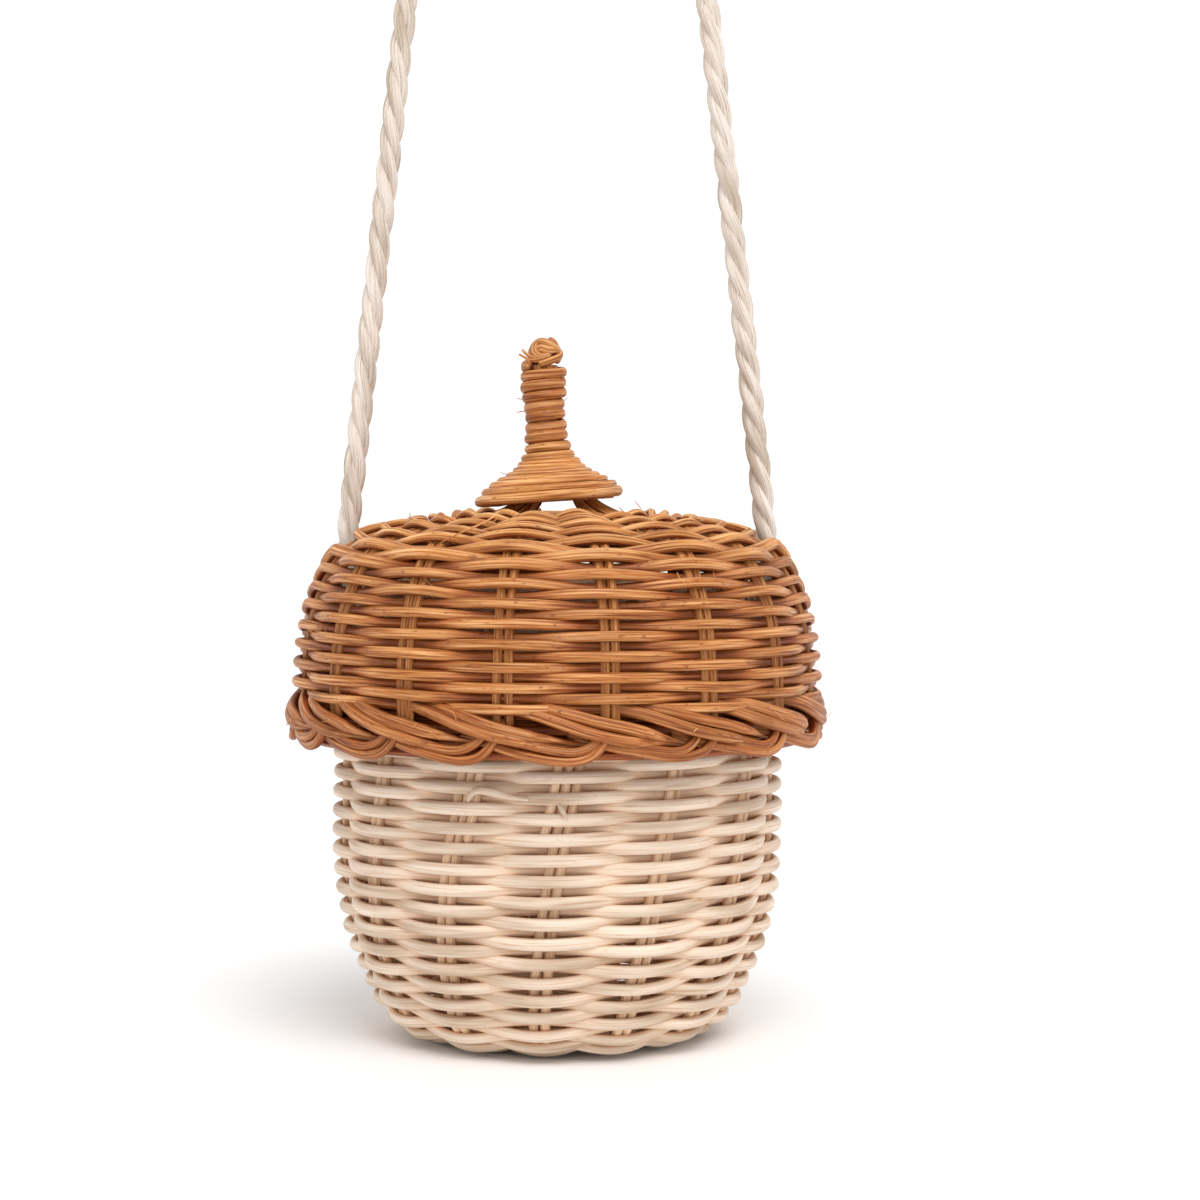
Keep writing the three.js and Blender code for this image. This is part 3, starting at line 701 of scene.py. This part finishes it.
LID_HEIGHT = 96.0
LID_PAIRS = 16
LID_PHASE = 0.5
LID_CANE = (3.15, 2.9)
LID_ROD = (3.0, 2.75)
LID_WAVE = (-1.0, 0.8, 2.8)
LID_PITCH = 2.92
LID_STRAY = 0.2
LID_FRAYS = 20
LID_LINE = [
    (9.5, 166.8), (13, 163.4), (19.6, 160.2), (26.2, 159.2), (33.2, 158.3), (40.1, 157.2),
    (47.0, 156.0), (53.7, 154.5), (60.3, 152.5), (65.4, 149.9), (68.8, 145.8), (72.0, 139.7),
    (74.5, 133.5), (76.2, 127.1), (77.3, 120.3), (77.9, 113.7), (78.0, 106.8), (77.9, 101.0),
]

lid_wall = Wall(
    smooth_line(LID_LINE, WALL_STEPS), -1, LID_PAIRS, LID_PHASE, 0.0, LID_CANE, LID_WAVE
)

# Both walls part for the strap.
HOLE_HEIGHT = 150.4
lid_hole = lid_wall.length_at(lambda r, z: z < HOLE_HEIGHT)
for angle in (0.0, math.pi):
    lid_wall.part(angle, lid_hole, back=12.0, on=6.0, reach=34.0, half=0.08, fade=0.22)
    bowl_wall.part(
        angle, bowl_wall.length[-1], back=12.0, on=0.0, reach=40.0, half=0.08, fade=0.32
    )

base_start = bowl_wall.length_at(lambda r, z: r > BASE_WEAVE_RADIUS)
heel_start = bowl_wall.length_at(lambda r, z: r > heel[-1][0])
bowl_end = bowl_wall.length[-1] - BOWL_TOP_GAP
crossings = int((bowl_end - base_start) / BOWL_PITCH * BOWL_PAIRS)
splits = [0, int((heel_start - base_start) / BOWL_PITCH * BOWL_PAIRS)]
for share in BOWL_SPLITS:
    splits.append(round(splits[1] + share * (crossings - splits[1])))


def bowl_row(i):
    """Where along the wall the cane is at a crossing."""
    return base_start + i * BOWL_PITCH / BOWL_PAIRS


def bowl_wave(i):
    """1 where the cane passes outside a stake and -1 where it passes inside."""
    calm = FOOT_CALM / (1 + np.exp((i - splits[1]) / BOWL_PAIRS - 1))
    return -(1 - calm) * np.cos(math.pi * i)


names = ["base_weaver", "bowl_weaver_lower", "bowl_weaver_middle", "bowl_weaver_upper"]
for i, name in enumerate(names):
    piece = Piece(f"cane_{name}")
    # The foot has no fibres, because they would reach into the floor.
    frays = 0 if name == "base_weaver" else BOWL_FRAYS
    bowl_wall.weave(
        piece, splits[i], splits[i + 1], bowl_row, bowl_wave, np.ones_like, BOWL_CANE_SEED + i,
        BOWL_STRAY, frays, BOWL_MOST_SHADE,
    )
    if name == "bowl_weaver_upper":
        piece.loose(SPLICE, SPLICE_THICK, SPLICE_FLAT)
        piece.loose(SPLINTER, SPLINTER_THICK, SPLINTER_FLAT)
    piece.make(PALE_CANE, "bowl", [name])
third_start = bowl_wall.length_at(lambda r, z: z > THIRD_HEIGHT)
for i in range(BOWL_PAIRS):
    piece = Piece(f"rods_bowl_{i + 1:02d}")
    bowl_wall.stake(piece, i, BOWL_ROD, BOWL_ROD_SEED + i)
    if i in THIRD_RODS:
        bowl_wall.stake(piece, i, BOWL_ROD, THIRD_ROD_SEED + i, third_start, [THIRD_RODS[i]])
    piece.make(PALE_ROD, "bowl", [f"bowl_stake_{i + 1:02d}"])

# The lid's rows lie further apart and wave less at the crown. Its stakes are even in number, so
# the cane takes the two at the back together in each row.
LID_SEAM = 4
LID_SPLIT = 0.42
MOST_ROWS = 60
CROWN_ROWS = 8
CROWN_EDGE = 0.8
CROWN_SPREAD = 1.6
CROWN_CALM = 0.14
CROWN_THIN = 0.22
CROWN_START_RADIUS = 26
# The most painted shade, where the cane dips behind a stake on the crown
CROWN_MOST_SHADE = 0.5
SHOULDER_THICK = 0.36
SHOULDER_ROWS = 2.2
SHOULDER_WIDTH = 1.5
# On the side: the most painted shade, the least, and over how many rows the least grows in
SIDE_MOST_SHADE = 0.88
SIDE_LEAST_SHADE = 0.4
SIDE_ROWS = 4
LID_WEAVE_FLOOR = 105.6
# Stakes that face the front or the back begin further out, which leaves a gap to see through
# under the stem's flare.
FACING = 0.95
FACING_RADIUS = 23.5
LONG_FIBRE = [
    (-33.6, -62.5, 152.8), (-27, -60.5, 156.0), (-20.5, -57.0, 158.9), (-16.7, -48, 162.0),
]
LONG_FIBRE_THICK = (0.15, 0.32, 0.12)

crown_start = lid_wall.length_at(lambda r, z: r > CROWN_START_RADIUS)
lid_end = lid_wall.length_at(lambda r, z: z < LID_WEAVE_FLOOR)


def lid_turn(i):
    """How many times round the lid the cane has gone at a crossing."""
    return (i - LID_SEAM) / LID_PAIRS


def lid_row(i):
    """Where along the wall the cane is at a crossing."""
    turn = lid_turn(i)
    rows_left = np.log1p(np.exp((CROWN_ROWS - turn) / CROWN_EDGE)) * CROWN_EDGE
    return crown_start + turn * LID_PITCH + CROWN_SPREAD * (CROWN_ROWS - rows_left)


def crown_share(i):
    """1 on the crown and 0 on the side."""
    return 1 / (1 + np.exp((lid_turn(i) - CROWN_ROWS) / CROWN_EDGE / 2))


def lid_wave(i):
    """1 where the cane passes outside a stake and -1 where it passes inside."""
    rows = range(1, MOST_ROWS)
    seams = sum(np.clip(i - (LID_PAIRS * row + LID_SEAM - 1), 0, 1) for row in rows)
    return (1 - CROWN_CALM * crown_share(i)) * np.cos(math.pi * (i - seams))


def lid_thin(i):
    """The share of its thickness that the cane has at a crossing."""
    past = (lid_turn(i) - CROWN_ROWS - SHOULDER_ROWS) / SHOULDER_WIDTH
    return 1 - CROWN_THIN * crown_share(i) + SHOULDER_THICK * np.exp(-(past**2))


turns = np.arange(0, MOST_ROWS, 1 / LID_PAIRS)
lid_crossings = int(np.sum(lid_row(LID_SEAM + turns * LID_PAIRS) < lid_end))
lid_split = round(LID_SPLIT * lid_crossings)
for name, first, last, most_shade in (
    ("crown", 0, lid_split, CROWN_MOST_SHADE), ("side", lid_split, lid_crossings, SIDE_MOST_SHADE)
):
    piece = Piece(f"cane_lid_{name}")
    turn = (np.arange(first * CANE_STEPS, last * CANE_STEPS + 1) / CANE_STEPS) / LID_PAIRS
    # Painted shade that the side's cane has all along, growing over its first rows
    least_shade = SIDE_LEAST_SHADE * np.clip((turn - CROWN_ROWS) / SIDE_ROWS, 0, 1)
    lid_wall.weave(
        piece, LID_SEAM + first, LID_SEAM + last, lid_row, lid_wave, lid_thin,
        LID_CANE_SEED + first, LID_STRAY, LID_FRAYS, most_shade, least_shade,
    )
    if name == "crown":
        piece.loose(LONG_FIBRE, LONG_FIBRE_THICK)
    piece.make(BROWN_CANE, "lid", [f"lid_weaver_{name}"])
for i in range(LID_PAIRS):
    piece = Piece(f"rods_lid_{i + 1:02d}")
    facing = abs(math.sin(lid_wall.phase + i * lid_wall.step)) > FACING
    begin = lid_wall.length_at(lambda r, z: r > FACING_RADIUS) if facing else 0.0
    lid_wall.stake(piece, i, LID_ROD, LID_ROD_SEED + i, begin)
    piece.make(BROWN_ROD, "lid", [f"lid_stake_{i + 1:02d}"])


# Hub: two crossed layers of rods

HUB_SIDE_RODS = 4
HUB_PITCH = 2.95
HUB_LAYER = 2.85
HUB_ROD = 1.5
HUB_SWAY = (9, 0.1)
HUB_STEPS = 12

hub = Piece("rods_hub")
for layer in (0, 1):
    for k in range(-HUB_SIDE_RODS, HUB_SIDE_RODS + 1):
        seed = HUB_SEED + SEED_STEP * layer + k
        across = k * HUB_PITCH
        reach = math.sqrt(HUB_RADIUS**2 - across**2)
        t = np.linspace(-reach, reach, HUB_STEPS)
        flat = across + wander(np.random.default_rng(seed), t + reach, *HUB_SWAY)
        height = np.full_like(t, HUB_ROD + HUB_LAYER * layer)
        line = np.column_stack([flat, t, height] if layer == 0 else [t, flat, height])
        up = np.broadcast_to([0.0, 0.0, 1.0], line.shape)
        hub.tube(line, up, HUB_ROD, begin=GRAIN_STEP * seed)
hub.make(PALE_ROD, "bowl", ["base_hub"])


# Borders

# The bowl's rolled border: from each stake a few rods wind once round while they run on past
# the next stakes.
RIM_SPANS = 3
RIM_RODS = 3
RIM_ROD = 2.7
RIM_ROD_TURN = 0.42
RIM_ROD_SWELL = (12, 0.03)
RIM_FLAT = 0.94
# Painted shade all over the bowl's rolled border
RIM_SHADE = 0.7
RIM_STEPS = 34

rim = Piece("cane_rim_border")
for i in range(BOWL_PAIRS):
    for k in range(RIM_RODS):
        seed = RIM_SEED + SEED_STEP * i + k
        t = np.linspace(0, 1, RIM_STEPS)
        around = bowl_wall.phase + (i + RIM_SPANS * t) * bowl_wall.step
        twist = math.pi / 2 + TURN * t + (k - (RIM_RODS - 1) / 2) * RIM_ROD_TURN
        length = t * RIM_SPANS * bowl_wall.step * RIM_RADIUS
        size = 1 + wander(np.random.default_rng(seed), length, *RIM_ROD_SWELL)
        r = RIM_RADIUS + (RIM_HALF_WIDTH - RIM_ROD / 2) * size * np.cos(twist)
        z = BOWL_HEIGHT - RIM_HALF_HEIGHT
        z = z + (RIM_HALF_HEIGHT - RIM_ROD / 2) * size * np.sin(twist)
        line = np.column_stack([r * np.cos(around), r * np.sin(around), z])
        outward = np.column_stack(
            [np.cos(twist) * np.cos(around), np.cos(twist) * np.sin(around), np.sin(twist)]
        )
        half = RIM_ROD / 2
        begin = GRAIN_STEP * seed
        rim.tube(line, outward, half, half * RIM_FLAT, begin=begin, shade_amount=RIM_SHADE)
rim.make(PALE_CANE, "bowl", ["bowl_rim_border"])

# The lid's braided border. A rod's places are the share of a stake interval from its stake, the
# height and the radius. Two sweeps run from behind each stake over the next one and end behind
# the hook of the one after. The hooks are the stakes' own rods, which turn back along the lower
# edge. Rings fill the border's core.
SWEEPS = [
    [
        (-0.1, 107.6, 75.2), (0.08, 106.4, 77.6), (0.3, 104.5, 80.2), (0.55, 101.9, 81.7),
        (0.8, 99.6, 82.2), (1.09, 97.7, 82.1), (1.33, 96.5, 81.1), (1.52, 95.9, 79.6),
        (1.7, 95.4, 77.5),
    ],
    [
        (0.05, 107.6, 74.2), (0.28, 106.2, 76.4), (0.48, 105.4, 79.4), (0.87, 102.3, 81.9),
        (1.09, 100.8, 82.2), (1.3, 99.2, 81.8), (1.46, 98.1, 80.9), (1.62, 97.1, 79.4),
        (1.8, 96.2, 77.4),
    ],
]
HOOKS = [
    [
        (0.0, 103.0, 77.4), (0.0, 99.5, 79.2), (-0.05, 97.4, 80.5), (-0.1, 95.2, 81.2),
        (-0.19, 93.0, 81.5), (-0.32, 91.9, 81.6), (-0.46, 91.9, 81.4), (-0.65, 92.8, 81.1),
        (-0.96, 94.8, 80.2), (-1.15, 96.2, 78.5), (-1.4, 97.4, 76.6),
    ],
    [
        (-0.09, 103.0, 77.0), (-0.11, 100.3, 78.9), (-0.16, 98.2, 80.1), (-0.22, 96.2, 80.9),
        (-0.31, 94.6, 81.4), (-0.42, 94.0, 81.5), (-0.57, 94.5, 81.3), (-0.77, 95.7, 80.8),
        (-0.98, 97.2, 79.8), (-1.18, 98.6, 78.0), (-1.4, 99.4, 76.2),
    ],
]
CORE_RINGS = [
    (73.6, 93.8), (76.6, 92.9), (73.4, 97.2), (76.4, 96.4), (73.6, 100.6), (76.2, 99.8),
    (73.6, 103.7), (73.8, 106.6),
]
# Millimetres in a stake interval, for how evenly a rod's points are spaced
INTERVAL = 30
PLACE_STRAY = 0.025
BRAID_STEP = 1.1
BRAID_SWAY = (14, 0.15)
BRAID_RISE = (16, 0.3)
SWEEP_STEPS = 48
SWEEP_THICK = 1.78
SWEEP_FLAT = 0.95
SWEEP_STRAY = 0.06
SWEEP_TAPER = 15
SWEEP_END = 0.4
# Painted shade all along the sweeps
SWEEP_SHADE = 0.62
SWEEP_FRAYS = 1
SWEEP_OFF = 1.6
BRAID_SIDES = 12
HOOK_STEPS = 52
HOOK_THICK = 1.4
# Painted shade all along the hooks
HOOK_SHADE = 0.66
RING_STEPS = 160
RING_THICK = 1.5
RING_GRAIN = 3000


def braid_line(places, stake, rng, steps):
    """A rod of the border as a line and its outward way, from its places."""
    u, z, r = smooth_line([(u * INTERVAL, z, r) for u, z, r in places], steps).T
    across = u / INTERVAL + rng.normal(0, PLACE_STRAY)
    angle = (LID_PHASE + stake + across) * TURN / LID_PAIRS
    run = np.arange(steps) * BRAID_STEP
    r = r + wander(rng, run, *BRAID_SWAY)
    z = z + wander(rng, run, *BRAID_RISE)
    line = np.column_stack([r * np.cos(angle), r * np.sin(angle), z])
    return line, np.column_stack([np.cos(angle), np.sin(angle), np.zeros(steps)])


border = Piece("cane_lid_border")
for stake in range(LID_PAIRS):
    for k, places in enumerate(SWEEPS):
        seed = SWEEP_SEED + SEED_STEP * stake + k
        rng = np.random.default_rng(seed)
        line, outward = braid_line(places, stake, rng, SWEEP_STEPS)
        left = SWEEP_STEPS - np.arange(SWEEP_STEPS)
        thick = SWEEP_THICK * (1 + rng.normal(0, SWEEP_STRAY))
        thick = thick * np.clip(left / SWEEP_TAPER, SWEEP_END, 1)
        border.tube(
            line, outward, thick, thick * SWEEP_FLAT, BRAID_SIDES, begin=GRAIN_STEP * seed,
            shade_amount=SWEEP_SHADE, inner=1.0,
        )
        border.fray(line, outward, SWEEP_OFF, SWEEP_FRAYS, rng)
    for k, places in enumerate(HOOKS):
        seed = HOOK_SEED + SEED_STEP * stake + k
        line, outward = braid_line(places, stake, np.random.default_rng(seed), HOOK_STEPS)
        border.tube(
            line, outward, HOOK_THICK, sides=BRAID_SIDES, begin=GRAIN_STEP * seed,
            shade_amount=HOOK_SHADE, inner=1.0,
        )
for k, (r, z) in enumerate(CORE_RINGS):
    angle = np.linspace(0, TURN, RING_STEPS, endpoint=False)
    out = np.column_stack([np.cos(angle), np.sin(angle), np.zeros(RING_STEPS)])
    # The core rings get full painted shade
    border.tube(
        out * r + [0, 0, z], out, RING_THICK, looped=True, begin=RING_GRAIN * k, shade_amount=1.0
    )
border.make(BROWN_CANE, "lid", ["lid_border"])


# Stem. Its heights are from LID_HEIGHT, and lengths along it are from its flare's edge.

CORE_FLOOR = 69.3
FLARE_FOOT = 70.5
FLARE_RADIUS = 21.2
FLARE_HEIGHT = 18.0
NECK_RADIUS = 5.25
NECK_TOP = 111.0
FLARE_SHARES = [
    (1, 0), (0.93, 0.1), (0.75, 0.24), (0.4, 0.41), (0.17, 0.56), (0.05, 0.75), (0, 1),
]
# How far the stem stands to the left, and how far it swells, by height above the flare's foot
STEM_SHIFTS = [(0, 2.6), (8, 1.8), (20, 3.4), (33, 4.3), (42, 4.0)]
NECK_SWELLS = [
    (0, 0), (3.5, 0.8), (7, 0.2), (10, 0.9), (15, 0.6), (19, 0.3), (24, -0.1), (29, 0.2),
    (32, 0.8), (42, 0.75),
]
FLARE_SLANT = 0.06
FLARE_DROP = 0.8
SLANT_HEIGHT = 22
WOUND_STEPS = 36
WOUND_START = 2.2
# How far one turn lies from the next, on the flare up to FLARE_REACH and on the neck
WOUND_PITCH = 2.72
NECK_PITCH = 3.2
FLARE_REACH = 24.0
NECK_START = 22
NECK_CHANGE = 5
# The first turn is a thicker ring, which thins out over a quarter turn.
FIRST_TURNS = 1.1
FIRST_CHANGE = 9
FIRST_OUT = 0.5
FIRST_DOWN = 0.3
FIRST_THICK = 0.3
# On the flare, and how much more on the neck
WOUND_HIGH = (1.36, 0.31)
WOUND_DEEP = (1.3, -0.15)
# Painted shade of the winding, on the flare and how much more on the neck
WOUND_SHADE = (0.08, 0.42)
WOUND_STRAY = (15, 0.2)
WOUND_SWAY = (11, 0.17)
WOUND_SWELL = (13, 0.06)
WOUND_FRAYS = 5
WOUND_OFF = 1.2
FLARE_STEPS = 60
STEM_STEPS = 200
CORE_INSET = 1.1
CORE_GAP = 0.3
CORE_STEPS = 40
CORE_SIDES = 40


def settle(points):
    """The stem stands a little to the left and bends, and its flare's right side is higher."""
    up = points[:, 2] - LID_HEIGHT - FLARE_FOOT
    slant = FLARE_SLANT * points[:, 0] - FLARE_DROP
    moved = points.copy()
    moved[:, 2] += slant * np.clip(1 - up / SLANT_HEIGHT, 0, 1)
    moved[:, 0] -= np.interp(up, *np.transpose(STEM_SHIFTS))
    return moved


reach = FLARE_RADIUS - NECK_RADIUS
foot = LID_HEIGHT + FLARE_FOOT
flare = smooth_line(
    [(NECK_RADIUS + x * reach, foot + z * FLARE_HEIGHT) for x, z in FLARE_SHARES], FLARE_STEPS
)
stem_line = resample(np.vstack([flare, [NECK_RADIUS, LID_HEIGHT + NECK_TOP]]), STEM_STEPS)
stem_length = lengths(stem_line)
stem_tangent = unit(np.gradient(stem_line, axis=0))
stem_normal = np.column_stack([stem_tangent[:, 1], -stem_tangent[:, 0]])
flare_turns = FLARE_REACH / WOUND_PITCH
stem_turns = flare_turns + (stem_length[-1] - FLARE_REACH) / NECK_PITCH
i = np.arange(int(stem_turns * WOUND_STEPS) + 1)
rng = np.random.default_rng(WINDING_SEED)
angle = i * TURN / WOUND_STEPS + WOUND_START
at = np.interp(i / WOUND_STEPS, (0, flare_turns, stem_turns), (0, FLARE_REACH, stem_length[-1]))
on_neck = np.clip((at - NECK_START) / NECK_CHANGE, 0, 1)
first_ring = np.clip((WOUND_STEPS * FIRST_TURNS - i) / FIRST_CHANGE, 0, 1)
at = np.clip(at + wander(rng, i, *WOUND_STRAY), 0, stem_length[-1])
r = np.interp(at, stem_length, stem_line[:, 0]) + wander(rng, i, *WOUND_SWAY)
r += FIRST_OUT * first_ring
z = np.interp(at, stem_length, stem_line[:, 1]) - FIRST_DOWN * first_ring
r += np.interp(z - foot, *np.transpose(NECK_SWELLS))
nr = np.interp(at, stem_length, stem_normal[:, 0])
nz = np.interp(at, stem_length, stem_normal[:, 1])
wound = np.column_stack([r * np.cos(angle), r * np.sin(angle), z])
outward = np.column_stack([nr * np.cos(angle), nr * np.sin(angle), nz])
girth = 1 + wander(rng, i, *WOUND_SWELL)
high = (WOUND_HIGH[0] + WOUND_HIGH[1] * on_neck + FIRST_THICK * first_ring) * girth
deep = WOUND_DEEP[0] + WOUND_DEEP[1] * on_neck + FIRST_THICK * first_ring
# Painted shade, darker on the neck, where the turns leave dark gaps
shade_amount = WOUND_SHADE[0] + WOUND_SHADE[1] * on_neck
winding = Piece("cane_stem_winding")
winding.tube(wound, outward, high, deep, CANE_SIDES, shade_amount=shade_amount, inner=1.0)
winding.fray(wound, outward, WOUND_OFF, WOUND_FRAYS, rng)
winding.make(BROWN_CANE, "lid", ["stem_winding"], settle)

core_floor = LID_HEIGHT + CORE_FLOOR
inset = stem_line - stem_normal * CORE_INSET
inset = resample(inset[inset[:, 1] > core_floor + CORE_GAP], CORE_STEPS)
core = Piece("rods_stem_core")
core.revolve(
    [(0, core_floor), (inset[0][0], core_floor)] + [tuple(p) for p in inset]
    + [(0, inset[-1][1])],
    CORE_SIDES,
)
core.make(BROWN_ROD, "lid", ["stem_core"], settle)

# The knot is the wound cane's end, tucked over and through itself. Places are from the middle
# of the neck's top, and the last ones stand off to the left as a split end.
KNOT_CANES = [
    [
        (-1.5, -4.4, -1.2), (2.2, -4.9, 0.2), (5.0, -2.4, 1.6), (5.1, 1.2, 3.4), (2.4, 3.4, 5.8),
        (-0.6, 1.4, 7.2), (-2.8, -2.0, 6.0), (-3.4, -3.9, 3.4), (-1.2, -4.7, 1.6),
        (2.2, -4.4, 2.2),
    ],
    [
        (4.6, 2.4, 0.2), (4.8, -1.4, 3.6), (3.0, -3.6, 5.4), (0.2, -3.8, 6.8), (-2.4, -1.2, 6.6),
        (-4.0, 1.6, 4.6), (-4.4, 2.4, 1.4), (-2.8, 3.8, 0.0), (1.4, 4.6, 0.8), (4.2, 2.8, 2.6),
    ],
    [
        (2.0, -1.2, 7.6), (3.6, 0.6, 6.4), (3.8, -2.2, 4.6), (1.8, -4.6, 4.0), (-1.0, -4.2, 4.6),
        (-3.0, -2.2, 3.2), (-4.4, 0.2, 2.4), (-3.0, 2.8, 2.8), (0.4, 3.2, 3.4),
    ],
]
KNOT_TAILS = [
    [(1.8, -4.4, 1.4), (-1.6, -4.8, 0.6), (-4.4, -3.8, 0.4), (-6.6, -3.2, 1.4), (-8.6, -2.6, 2.5)],
    [(0.4, -4.2, 2.4), (-2.4, -4.6, 1.6), (-4.6, -3.8, 1.8), (-6.4, -3.6, 2.9), (-7.6, -3.2, 4.2)],
]
KNOT_RISE = 1.0
KNOT_SCALE = 0.9
KNOT_HEART = 3.4
KNOT_STEPS = 60
KNOT_THICK = 1.35
KNOT_TAIL = (1.15, 0.35)
KNOT_FLAT = 0.8
# Painted shade all over the knot's canes, more on their inner side
KNOT_SHADE = 0.25
KNOT_GRAIN = 700
KNOT_SIDES = 10

knot = Piece("cane_stem_knot")
knot_foot = np.array([0.0, 0.0, LID_HEIGHT + NECK_TOP + KNOT_RISE])
for k, places in enumerate(KNOT_CANES + KNOT_TAILS):
    line = smooth_line(places, KNOT_STEPS) * KNOT_SCALE + knot_foot
    outward = unit(line - knot_foot - [0, 0, KNOT_HEART])
    thick = np.full(KNOT_STEPS, KNOT_THICK)
    if k >= len(KNOT_CANES):
        thick = np.linspace(*KNOT_TAIL, KNOT_STEPS)
    knot.tube(
        line, outward, thick, thick * KNOT_FLAT, KNOT_SIDES, begin=KNOT_GRAIN * k,
        shade_amount=KNOT_SHADE, inner=1.0,
    )
knot.make(BROWN_CANE, "lid", ["stem_knot"], settle)


# Studio

FLOOR_REACH = 4
FLOOR_COLOUR = (0.97, 0.97, 0.97, 1)
FLOOR_ROUGHNESS = 0.9
# How bright the light all round is up to one height and from another, where 1 is overhead
LIGHTS = [(0.2, 1.06), (0.5, 0.74)]
SUN_LIGHT = 1.6
SUN_WIDTH = 35
SUN_ANGLES = (34, 0, 16)

floor_mesh = bpy.data.meshes.new("floor")
corners = [(x * FLOOR_REACH, y * FLOOR_REACH, 0) for x, y in ((-1, -1), (1, -1), (1, 1), (-1, 1))]
floor_mesh.from_pydata(corners, [], [(0, 1, 2, 3)])
floor = bpy.data.objects.new("floor", floor_mesh)
scene.collection.objects.link(floor)
paint = bpy.data.materials.new("floor")
paint.use_nodes = True
shader = paint.node_tree.nodes["Principled BSDF"]
shader.inputs["Base Color"].default_value = FLOOR_COLOUR
shader.inputs["Roughness"].default_value = FLOOR_ROUGHNESS
floor_mesh.materials.append(paint)

# The light is white all round at eye level and softer above, with a sun from the upper right.
world = bpy.data.worlds.new("studio")
scene.world = world
world.use_nodes = True
sky = world.node_tree
place = node(sky, "ShaderNodeTexCoord")
parts = node(sky, "ShaderNodeSeparateXYZ")
sky.links.new(place.outputs["Generated"], parts.inputs["Vector"])
bright = ramp(sky, parts.outputs["Z"], [(height, (light,) * 3) for height, light in LIGHTS])
sky.links.new(bright, sky.nodes["Background"].inputs["Color"])

sun_data = bpy.data.lights.new("sun", "SUN")
sun_data.energy = SUN_LIGHT
sun_data.angle = math.radians(SUN_WIDTH)
sun = bpy.data.objects.new("sun", sun_data)
scene.collection.objects.link(sun)
sun.rotation_euler = [math.radians(angle) for angle in SUN_ANGLES]

scene.view_settings.view_transform = "Standard"
